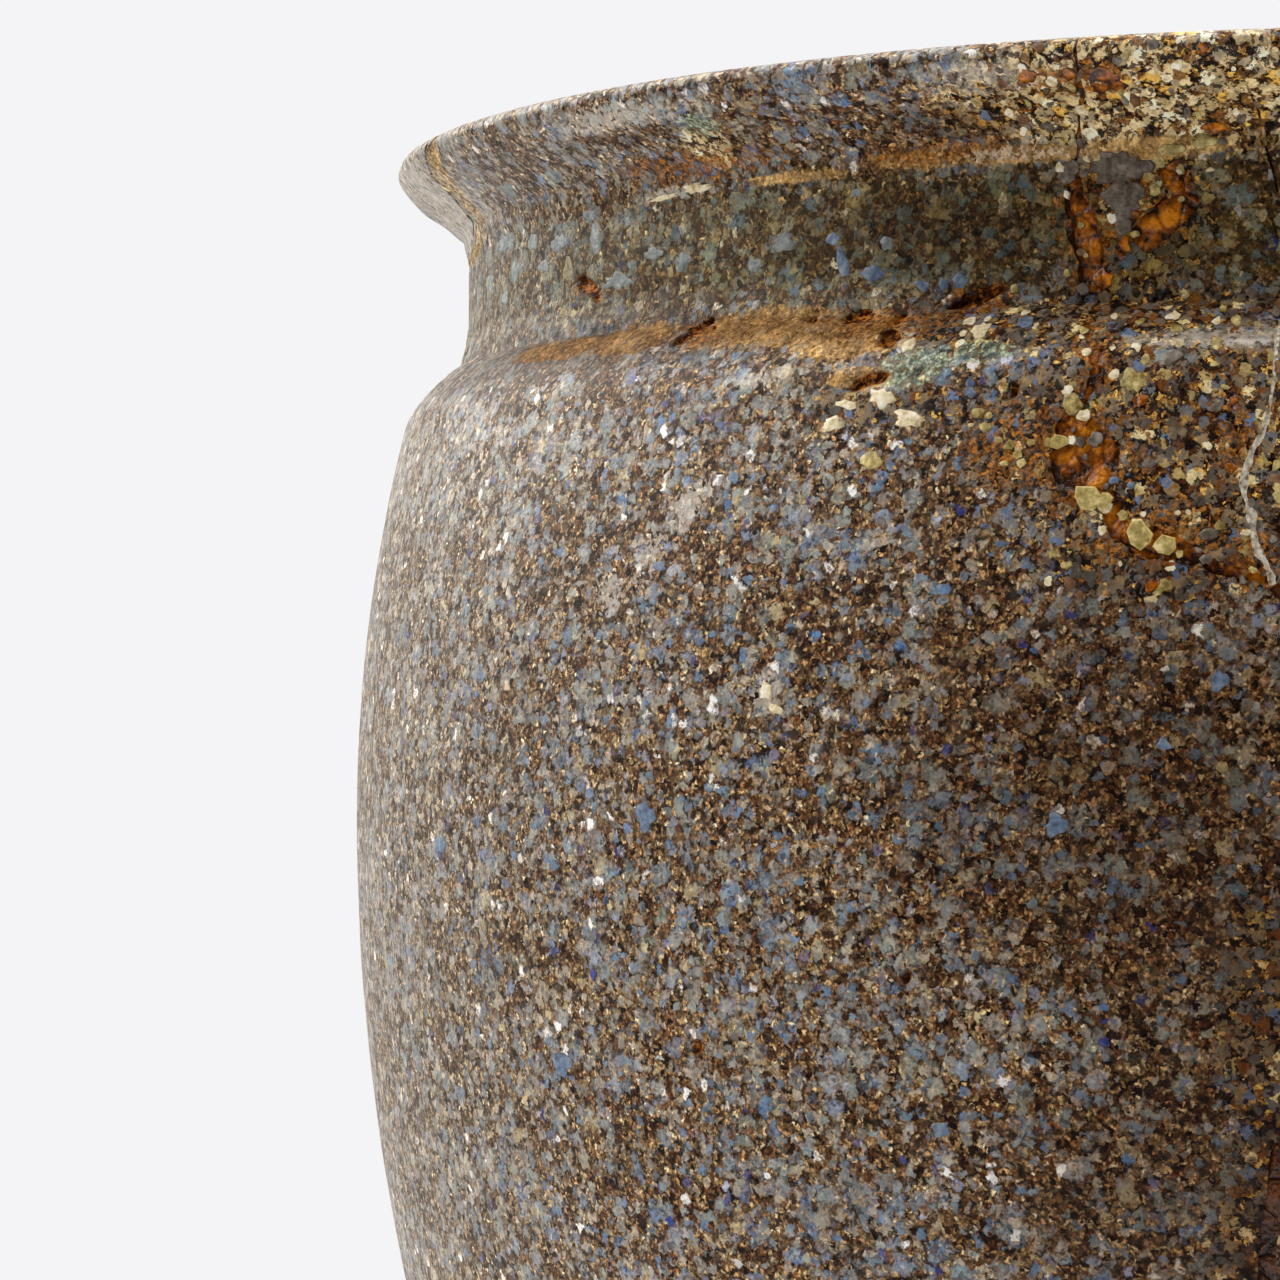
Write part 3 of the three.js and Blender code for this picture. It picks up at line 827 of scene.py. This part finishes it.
STONE = granular_finish("speckled_stone", sandiness=0.0, polish=1.0)
for node, sherd in stones.items():
    weathered(sherd)
    dressed(sherd, node.replace("_sherd", "") + "_stone", STONE, node)


# The collar fill: a tan, sandy filler pressed into the crease where the neck was set back on the
# body. It is smeared over the edges in places and has lost grains in others.
COLLAR_REACH = 1.7
FILLET = 0.36
FILLET_REACH = 0.95
FRONT_THINNING = (0.27, 0.45)  # radians from the front, between which the collar thins out
FRONT_SINK = 0.3
COLLAR_BITE = 0.1
COLLAR_ROW = 0.12
COLLAR_LUMPS = 0.08
COLLAR_GRIT = 0.05
SMEAR = 0.06
collar_levels = np.arange(CREASE - COLLAR_REACH, CREASE + COLLAR_REACH + 0.01, COLLAR_ROW)
collar_bore = BORE_RADIUS + COLLAR_BITE
collar_rows = np.concatenate([
    [(radius_at(z), z) for z in collar_levels],
    [(collar_bore, CREASE + COLLAR_BITE), (collar_bore, COLLAR_LOW - COLLAR_BITE)]])


def smeared(radius, azimuth, level):
    """The collar's radius: it rounds the crease, is smeared over its edges and is pitted."""
    outer = radius > collar_bore
    points = on_wall(radius, azimuth, level)
    rich = patches(azimuth, level, SAND_SPOTS)
    near, far = FRONT_THINNING
    front = soft_step(-far, -near, azimuth) * (1 - soft_step(near, far, azimuth))
    fillet = FILLET * (1 - 0.9 * front) * np.exp(-((level - CREASE) / FILLET_REACH) ** 2) - GRIND_LOSS
    fillet = fillet - FRONT_SINK * front * soft_step(0.2, 0.6, level - CREASE)
    lumps = rough(points, 0.8, 8) * COLLAR_LUMPS + rough(points, 2.6, 9) * COLLAR_GRIT
    face = ground(radius, azimuth, level) + fillet + lumps + rich * SMEAR
    return np.where(outer, face, radius)


collar = turned("collar", collar_rows, azimuths(close=0.3, far=1.5), smeared)
COLLAR_SAND = granular_finish("collar_sand", sandiness=0.1, polish=0.0)
weathered(collar)
dressed(collar, "collar_filler", COLLAR_SAND, "neck_collar_fill")


# The lip's joint: an ochre filler round the chip that was set back into the lip at the left, with a
# dark open crack beside it.
FILL_INSET = 0.14
LIP_FILL_INSET = 0.03
LIP_FILL_SPARE = 0.02
FILL_LUMPS = 0.05
OCHRE_COLOURS = ((0.32, 0.17, 0.045), (0.95, 0.66, 0.25))


def uneven(radius, azimuth, level):
    """The radius with the same grinding as the stone and small lumps of its own."""
    points = on_wall(radius, azimuth, level)
    return ground(radius, azimuth, level) + rough(points, 1.1, 12) * FILL_LUMPS


def neck_core(name, inset=FILL_INSET):
    """The neck ring drawn in a little, which a fill in the neck is cut from."""
    outline = neck_loop(fine=0.3, coarse=1.0, inset=inset)
    return turned(name, outline, azimuths(close=0.5, far=2.0), uneven)


def body_core(name, inset=FILL_INSET):
    """The body drawn in a little, which a fill in the body is cut from."""
    outline = body_loop(fine=0.3, coarse=1.5, inset=inset)
    return turned(name, outline, azimuths(close=0.7, far=2.5), uneven)


lip_fill = neck_core("lip_fill", LIP_FILL_INSET)
carve(lip_fill, band("lip", LIP_FILL_SPARE), "INTERSECT")
OCHRE_SAND = granular_finish("ochre_sand", sandiness=0.7, polish=0.2, sand_colours=OCHRE_COLOURS)
weathered(lip_fill)
dressed(lip_fill, "lip_filler", OCHRE_SAND, "lip_joint_fill")


# The amber resin: a clear brown resin run into the open breaks at the front of the neck and of the
# shoulder, and into a lost patch beside them. It set glossy and a little lower than the stone.
RESIN_DEPTH = 0.3 * MM
POOL_STEPS = 40
POOL_MARGIN = 0.1


def pooled(piece, stops):
    """Writes on a resin piece how near each place is to the edge of its break, for painted shade."""
    turn, level, width = np.array(stops, float).T
    places = np.array([v.co for v in piece.data.vertices]) / MM
    u = np.arctan2(places[:, 0], -places[:, 1]) * BELLY_RADIUS
    fine = np.linspace(0, len(turn) - 1, POOL_STEPS * len(turn))
    across = np.radians(turn) * BELLY_RADIUS
    line = [np.interp(fine, np.arange(len(turn)), values) for values in (across, level, width)]
    away = np.hypot(u[:, None] - line[0], places[:, 2, None] - line[1]) / (line[2] / 2 + POOL_MARGIN)
    record = piece.data.attributes.new("edge", "FLOAT", "POINT")
    record.data.foreach_set("value", soft_step(0.35, 1.05, away.min(1)))


def resin_finish(name, deep, body, bright, glow, gloss):
    """Glossy resin with a painted glow, bright mid-pool and dark along its edge as painted shade."""
    made, feed, start = finish(name)
    place = place_in_mm(start)
    cloud = start.node("TexNoise", {"Vector": place, "Scale": 1.5, "Detail": 5.0, "Roughness": 0.6})
    speck = start.node("TexNoise", {"Vector": place, "Scale": 7.0, "Detail": 2.0})
    edge = start.node("Attribute", settings={"attribute_name": "edge"}, output="Fac")
    facet = start.node("TexVoronoi", {"Vector": place, "Scale": 1.15}, {"feature": "DISTANCE_TO_EDGE"})
    fold = 1 - facet.between(0.0, 0.14)
    # Towards the edge of its pool the resin is painted darker: painted shade where it lies below the stone.
    light = cloud + (speck - 0.5) * 0.3 - edge * 0.16 - fold * 0.13
    colour = light.ramp(((0.30, deep), (0.45, body), (0.62, bright)))
    feed("Base Color", colour)
    # The colour is fed to the emission too: a painted glow, as if light shone through the resin.
    feed("Emission Color", colour)
    feed("Emission Strength", glow)
    feed("Roughness", 0.12 + speck * 0.16)
    feed("Specular IOR Level", 0.3)
    feed("Coat Weight", gloss)
    feed("Coat Roughness", 0.08)
    relief = cloud * 0.7 + speck * 0.25 + facet * 0.5 - fold * 0.2
    feed("Normal", start.node("Bump", {"Strength": 0.8, "Distance": RESIN_DEPTH, "Height": relief}))
    return made


AMBER = resin_finish(
    "amber_resin", deep=(0.030, 0.008, 0.001), body=(0.27, 0.068, 0.002), bright=(0.66, 0.22, 0.005),
    glow=0.12, gloss=0.5)
for core, cut, name, node in (
        (neck_core, "neck_front", "neck_front_amber", "neck_front_resin"),
        (body_core, "shoulder", "shoulder_amber", "shoulder_joint_resin"),
        (neck_core, "neck_plug", "neck_plug_amber", "neck_resin_plug")):
    amber_fill = core(name)
    carve(amber_fill, band(cut, JOINT_SPARE), "INTERSECT")
    pooled(amber_fill, CUTS[cut][0])
    dressed(amber_fill, name, AMBER, node)


# The dark resin: a red-brown resin in the long thin break round the side sherd and in the second
# break of the neck.
DARK = resin_finish(
    "dark_resin", deep=(0.016, 0.004, 0.001), body=(0.070, 0.018, 0.003), bright=(0.20, 0.055, 0.008),
    glow=0.02, gloss=0.05)
for core, cut, name, node in (
        (body_core, "side", "side_resin", "body_side_resin"),
        (neck_core, "neck_back", "neck_back_resin_line", "neck_back_resin")):
    dark_fill = core(name)
    carve(dark_fill, band(cut, JOINT_SPARE), "INTERSECT")
    dressed(dark_fill, name, DARK, node)


# The calcite vein: a thin pale vein of the stone itself, which runs down beside the shoulder sherd
# and parts it from the body. It is polished about flush with the wall.
VEIN_INSET = -0.02


def calcite_finish():
    """Pale grey, slightly clear calcite with darker specks."""
    made, feed, start = finish("calcite")
    place = place_in_mm(start)
    cloud = start.node("TexNoise", {"Vector": place, "Scale": 5.5, "Detail": 3.0})
    shades = ((0.36, (0.18, 0.12, 0.06)), (0.47, (0.46, 0.40, 0.31)), (0.66, (0.82, 0.76, 0.65)))
    feed("Base Color", cloud.ramp(shades))
    feed("Roughness", 0.25 + cloud * 0.2)
    feed("Normal", start.node("Bump", {"Strength": 0.4, "Distance": BUMP_DEPTH, "Height": cloud}))
    return made


CALCITE = calcite_finish()
vein_fill = body_core("vein_fill", VEIN_INSET)
carve(vein_fill, band("vein", JOINT_SPARE), "INTERSECT")
dressed(vein_fill, "pale_vein", CALCITE, "calcite_vein")


# The coarse grains: pyrite, calcite, feldspar and blue grains that stand a little proud of the worn
# matrix, crumbs of them along the breaks, and drops of resin. A few pale grains and the pyrite's
# bright gold are painted highlights. Each spot gives azimuth, level, width, height and slant. They
# belong to the rock and its mends, so they replace no piece.
CRISP_CORNERS = 7
GRAIN_JITTER = 0.3
GRAIN_REACH = (0.45, 1.3)
GRAIN_RINGS = ((1.05, -0.35), (1.0, 0.1), (0.88, 0.8), (0.5, 0.95))


def grain(spot, lift, crisp, chance):
    """The points and faces of one irregular grain seated on the wall."""
    turn, level, across, tall, *slant = spot
    lean = math.radians(slant[0] if slant else 0)
    corners = CRISP_CORNERS if crisp else round(8 + 9 * across)
    jitter = chance.uniform(-GRAIN_JITTER, GRAIN_JITTER, corners)
    angle = (np.arange(corners) + jitter) * (2 * math.pi / corners)
    reach = chance.uniform(*GRAIN_REACH, corners)
    reach = reach * 0.7 + (np.roll(reach, 1) + np.roll(reach, -1)) * 0.15
    points = []
    for scale, height in GRAIN_RINGS + ((0.0, 1.0),):
        u = across / 2 * scale * reach * np.cos(angle)
        v = tall / 2 * scale * reach * np.sin(angle)
        z = level + u * math.sin(lean) + v * math.cos(lean)
        azimuth = math.radians(turn) + (u * math.cos(lean) - v * math.sin(lean)) / radius_at(level)
        rise = height if height < 0 else height * lift
        points.append(on_wall(ground(radius_at(z), azimuth, z) + rise, azimuth, z))
    points[-1] = points[-1][:1]
    index = np.arange(corners)
    after = np.roll(index, -1)
    faces = []
    for ring in range(len(GRAIN_RINGS) - 1):
        low, high = ring * corners, (ring + 1) * corners
        faces += np.stack([low + index, low + after, high + after, high + index], 1).tolist()
    low = (len(GRAIN_RINGS) - 1) * corners
    faces += [(low + i, low + j, low + corners) for i, j in zip(index.tolist(), after.tolist())]
    faces.append(index[::-1].tolist())
    edge = [1.0] * (2 * corners) + [0.3] * corners + [0.0] * (corners + 1)
    return np.concatenate(points), faces, edge


def inlay(name, spots, material, lift, seed, crisp=False):
    """One piece of many grains."""
    chance = np.random.default_rng(seed)
    points, faces, edges, count = [], [], [], 0
    for spot in spots:
        some, around, edge = grain(spot, lift, crisp, chance)
        points.append(some)
        edges += edge
        faces += [[count + corner for corner in face] for face in around]
        count += len(some)
    piece = solid(name, np.concatenate(points), faces)
    piece.data.attributes.new("edge", "FLOAT", "POINT").data.foreach_set("value", edges)
    dressed(piece, name, material)


def grain_finish(name, dark, middle, light, roughness, rim=(0.06, 0.024, 0.008)):
    """A mineral grain whose colour clouds from dark to light, with a rim of another colour."""
    made, feed, start = finish(name)
    place = place_in_mm(start)
    cloud = start.node("TexNoise", {"Vector": place, "Scale": 2.2, "Detail": 5.0, "Roughness": 0.7})
    speck = start.node("TexNoise", {"Vector": place, "Scale": 5.0, "Detail": 3.0})
    edge = start.node("Attribute", settings={"attribute_name": "edge"}, output="Fac")
    colour = (cloud + (speck - 0.5) * 0.4).ramp(((0.32, dark), (0.5, middle), (0.66, light)))
    border = (edge + (speck - 0.5) * 0.9).between(0.35, 0.9)
    feed("Base Color", (border * 0.75).blend(colour, rim))
    feed("Roughness", roughness + speck * 0.2)
    feed("Specular IOR Level", 0.35)
    feed("Normal", start.node("Bump", {"Strength": 0.5, "Distance": BUMP_DEPTH, "Height": speck}))
    return made


# The cream grain's lightest colour is near white, partly a painted highlight.
CREAM_GRAIN = grain_finish(
    "cream_grain", (0.50, 0.37, 0.18), (0.88, 0.76, 0.50), (1.0, 0.97, 0.86), 0.2, (0.44, 0.32, 0.15))
KHAKI_GRAIN = grain_finish(
    "khaki_grain", (0.16, 0.10, 0.02), (0.44, 0.34, 0.12), (0.80, 0.66, 0.30), 0.3, (0.16, 0.09, 0.02))
GREY_GRAIN = grain_finish("grey_grain", (0.05, 0.035, 0.02), (0.16, 0.13, 0.10), (0.32, 0.27, 0.23), 0.35)
BROWN_GRAIN = grain_finish(
    "brown_grain", (0.05, 0.018, 0.006), (0.16, 0.07, 0.025), (0.34, 0.19, 0.08), 0.5)
BLUE_GRAIN = grain_finish("blue_grain", (0.05, 0.07, 0.12), (0.13, 0.19, 0.29), (0.27, 0.32, 0.38), 0.4)
PALE_GRAIN = grain_finish(
    "pale_grain", (0.09, 0.10, 0.10), (0.19, 0.22, 0.22), (0.36, 0.38, 0.35), 0.4, (0.13, 0.10, 0.07))
# The pyrite's light and rim colours are bright gold: painted highlights of its facets.
PYRITE = grain_finish(
    "pyrite", (0.28, 0.20, 0.06), (0.52, 0.41, 0.15), (0.92, 0.76, 0.36), 0.12, (0.78, 0.61, 0.22))

PYRITE_SPOTS = (
    (-8.3, 115.85, 1.4, 1.0, -35), (-7.1, 115.5, 0.75, 0.65, -15), (-10.8, 117.05, 1.05, 0.8, -30),
    (-10.0, 116.9, 0.5, 0.7, -30), (-12.4, 118.9, 0.95, 0.55, 20), (-13.4, 124.6, 0.3, 0.3),
    (-9.7, 125.8, 0.4, 0.35), (-5.0, 121.3, 0.32, 0.28), (-65.9, 130.2, 0.5, 0.3),
    (-6.4, 115.2, 0.3, 0.3), (-3.0, 114.7, 0.3, 0.25), (-15.4, 119.0, 0.3, 0.25),
    (-14.4, 118.5, 0.35, 0.3), (-15.1, 118.2, 0.3, 0.25), (-16.0, 119.8, 0.3, 0.3),
    (-13.8, 118.9, 0.25, 0.25), (-16.9, 119.5, 0.3, 0.2), (-11.9, 115.5, 0.16, 0.14),
    (-11.6, 115.3, 0.2, 0.14), (-11.7, 115.7, 0.12, 0.12), (-12.1, 115.2, 0.14, 0.1))
# Two thin streaks under the flare and a white patch on the belly are painted glints: pale grains put where
# the lights catch the wall.
CREAM_GRAINS_AND_GLINTS = (
    (-10.9, 130.5, 0.34, 0.34), (-13.1, 130.6, 0.47, 0.32), (-12.7, 131.0, 0.3, 0.22),
    (-14.4, 131.0, 0.4, 0.3), (-15.9, 129.8, 0.42, 0.36), (-4.1, 130.7, 0.2, 0.2),
    (-13.4, 127.2, 0.28, 0.28), (-7.3, 127.8, 0.3, 0.22), (-11.4, 121.8, 0.33, 0.3),
    (-10.1, 121.9, 0.22, 0.2), (-8.8, 121.9, 0.27, 0.3), (-21.1, 122.4, 0.65, 0.8),
    (-18.3, 123.1, 0.6, 0.5), (-17.4, 122.7, 0.8, 0.6), (-18.3, 122.6, 0.36, 0.26),
    (-22.0, 120.5, 1.2, 0.7, -20), (-23.8, 120.3, 0.9, 0.4, -10), (-20.3, 119.75, 1.3, 0.6, -8),
    (-24.6, 119.7, 0.86, 0.5), (-12.6, 114.4, 0.4, 0.32), (-27.2, 110.8, 0.7, 0.8),
    (-26.6, 110.2, 0.7, 0.35, -25), (-40.6, 128.22, 2.2, 0.2, 3), (-37.6, 128.4, 1.8, 0.36, 3),
    (-15.4, 123.3, 0.3, 0.25), (-9.0, 122.0, 0.3, 0.25))
KHAKI_GRAINS = (
    (-6.0, 128.7, 0.9, 0.5), (-7.7, 128.5, 0.8, 0.4), (-8.6, 127.2, 0.5, 0.5),
    (-5.8, 126.9, 0.46, 0.46), (-8.9, 120.8, 0.9, 0.8), (-11.9, 120.1, 0.77, 0.7),
    (-16.6, 119.9, 0.5, 0.5), (-16.2, 119.4, 0.45, 0.4), (-7.2, 114.2, 0.8, 0.5, 25),
    (-22.1, 118.4, 0.9, 0.55), (-14.9, 118.8, 0.4, 0.35), (-14.2, 118.2, 0.35, 0.4),
    (-8.4, 121.5, 0.4, 0.5))
GREY_GRAINS = (
    (-10.6, 128.0, 2.1, 1.3), (-10.4, 127.0, 1.4, 1.3), (-10.3, 126.2, 0.7, 0.9),
    (-13.3, 127.9, 0.85, 0.8), (-7.2, 121.5, 0.9, 0.6), (-5.1, 115.9, 0.6, 0.5))
BLUE_GRAINS = (
    (-15.2, 122.9, 0.7, 0.46), (-17.4, 123.2, 0.54, 0.25), (-25.0, 124.1, 1.4, 0.6),
    (-21.9, 124.4, 0.65, 0.5), (-20.5, 124.4, 0.36, 0.44), (-27.0, 122.4, 0.7, 0.4),
    (-34.5, 106.5, 1.2, 1.0), (-12.0, 106.6, 0.85, 0.8), (-17.8, 96.7, 0.77, 0.7),
    (-17.3, 129.8, 0.39, 0.3), (-9.6, 117.6, 0.35, 0.3), (-8.8, 117.4, 0.3, 0.35),
    (-27.5, 126.2, 0.7, 0.5), (-26.8, 125.4, 0.5, 1.2, 10), (-25, 124.9, 1.1, 0.6),
    (-19.5, 124.5, 0.6, 0.5), (-34.5, 115, 0.7, 0.4), (-15, 115.6, 0.4, 0.3), (-4.5, 111.2, 0.8, 0.7),
    (-7, 109.2, 0.7, 0.5), (-41.5, 97.6, 1.2, 0.9), (-53, 105, 1.2, 0.7), (-31.5, 112.5, 0.7, 0.4))
PALE_GRAINS = (
    (-61, 127.8, 2.2, 0.9), (-56, 127.5, 1.1, 0.7), (-52, 127.2, 1.4, 0.7),
    (-47.5, 127.2, 0.8, 1.3, -10), (-48, 128, 1.4, 0.4), (-59, 126.6, 1, 0.9), (-61, 125.7, 1, 0.8),
    (-54, 126.5, 1.2, 0.5), (-45, 125.5, 2, 0.7), (-40.5, 124.9, 0.8, 0.7), (-39, 125.9, 1, 0.8),
    (-31, 126.2, 1.3, 0.7), (-24, 125.9, 0.6, 0.5), (-33, 125.5, 0.7, 0.6), (-41.5, 126.3, 1, 0.5),
    (-26, 127.7, 0.5, 0.3), (-7.5, 121.6, 0.85, 0.6), (-65, 126.5, 1.5, 0.9), (-57, 129.5, 1.4, 0.6),
    (-50, 129.6, 1.2, 0.5))
AMBER_DROPS = (
    (-10.5, 130.6, 1.56, 0.8), (-12.2, 130.8, 0.57, 0.55), (-14.2, 130.8, 0.8, 0.45),
    (-5.4, 131.35, 0.5, 0.3), (-5.3, 129.1, 0.9, 0.35), (-11.3, 124.3, 0.7, 0.85),
    (-10.3, 125.4, 0.67, 0.8), (-8.5, 120.1, 0.6, 0.5), (-4.0, 120.0, 0.5, 0.45),
    (-4.1, 118.0, 0.4, 0.57), (-7.0, 114.9, 0.6, 0.3), (-7.6, 114.3, 0.8, 0.5, 35))


def crumbs(count, turns, levels, least, most, seed):
    """Places and sizes of loose crumbs strewn over a window of the wall."""
    chance = np.random.default_rng(seed)
    size = chance.uniform(least, most, count)
    return np.stack([chance.uniform(*turns, count), chance.uniform(*levels, count), size,
                     size * chance.uniform(0.6, 1.0, count), chance.uniform(-60, 60, count)], 1).tolist()


STREWN = tuple(
    crumbs(45, (-16, 4), (129.2, 131.6), 0.2, 0.5, 11)
    + crumbs(60, (-13, 3), (116.5, 122.4), 0.2, 0.5, 12)
    + crumbs(50, (-27, 3), (122.2, 124.2), 0.2, 0.5, 13)
    + crumbs(25, (-14, -5), (124.2, 128.8), 0.2, 0.45, 14)
    + crumbs(25, (-12, -1), (113.8, 116.5), 0.2, 0.45, 15))
inlay("pyrite_grains", PYRITE_SPOTS, PYRITE, lift=0.1, seed=2, crisp=True)
inlay("cream_grains_and_glints", CREAM_GRAINS_AND_GLINTS + STREWN[0::5], CREAM_GRAIN, lift=0.04, seed=3)
inlay("khaki_grains", KHAKI_GRAINS + STREWN[1::5], KHAKI_GRAIN, lift=0.04, seed=4)
inlay("grey_grains", GREY_GRAINS + STREWN[2::5] + STREWN[4::5], GREY_GRAIN, lift=0.03, seed=5)
inlay("brown_grains", STREWN[3::5], BROWN_GRAIN, lift=0.03, seed=6)
inlay("blue_grains", BLUE_GRAINS, BLUE_GRAIN, lift=0.02, seed=7)
inlay("pale_grains", PALE_GRAINS, PALE_GRAIN, lift=0.015, seed=9)
inlay("amber_drops", AMBER_DROPS, AMBER, lift=0.05, seed=8)


# The stage: a pale round table top, two large soft boxes at the sides, one overhead and a white
# surround behind the jar, with little light from the front.
TABLE_RADIUS = 300
TABLE_SIDES = 96
TABLE_COLOUR = (0.72, 0.72, 0.73, 1)
table_turn = np.linspace(0, 2 * math.pi, TABLE_SIDES, endpoint=False)
table = solid("table_top", on_wall(TABLE_RADIUS, table_turn, 0 * table_turn), [list(range(TABLE_SIDES))])
table_paint, feed_table, _ = finish("pale_table")
feed_table("Base Color", TABLE_COLOUR)
feed_table("Roughness", 0.6)
table.data.materials.append(table_paint)

LAMP_COLOUR = (1.0, 0.975, 0.935)
SIDE_BOX_SIZE = (0.95, 0.75)
SIDE_BOX_WATTS = 12.1
TOP_BOX_SIZE = (0.10, 0.10)
TOP_BOX_WATTS = 0.9


def soft_box(name, place, aim, size, watts):
    """A rectangular studio light that faces a point."""
    lamp = bpy.data.lights.new(name, "AREA")
    lamp.shape = "RECTANGLE"
    lamp.size, lamp.size_y = size
    lamp.energy = watts
    lamp.color = LAMP_COLOUR
    box = bpy.data.objects.new(name, lamp)
    box.location = place
    box.rotation_euler = (Vector(aim) - Vector(place)).to_track_quat("-Z", "Y").to_euler()
    bpy.context.scene.collection.objects.link(box)


soft_box("left_box", (-0.60, 0.10, 0.58), (0, 0, 0.11), SIDE_BOX_SIZE, SIDE_BOX_WATTS)
soft_box("right_box", (0.60, 0.10, 0.58), (0, 0, 0.11), SIDE_BOX_SIZE, SIDE_BOX_WATTS)
soft_box("top_box", (-0.03, -0.07, 0.65), (0, 0, 0.12), TOP_BOX_SIZE, TOP_BOX_WATTS)

FRONT_DARK = (0.03, 0.028, 0.026)
BACK_WHITE = (0.93, 0.93, 0.94)
BACKING_WHITE = (0.905, 0.905, 0.92)
world = bpy.data.worlds.new("studio")
bpy.context.scene.world = world
world.use_nodes = True
air = Signal(world.node_tree)
toward = air.node("TexCoord", output="Generated")
depth = air.node("SeparateXYZ", {0: toward}, output=1)
surround = depth.between(0.05, 0.85).blend(FRONT_DARK, BACK_WHITE)
seen = air.node("LightPath", output="Is Camera Ray")
backing = seen.blend(surround, BACKING_WHITE)
sky = next(n for n in world.node_tree.nodes if n.type == "BACKGROUND")
world.node_tree.links.new(backing.socket, sky.inputs["Color"])
bpy.context.scene.view_settings.view_transform = "Standard"
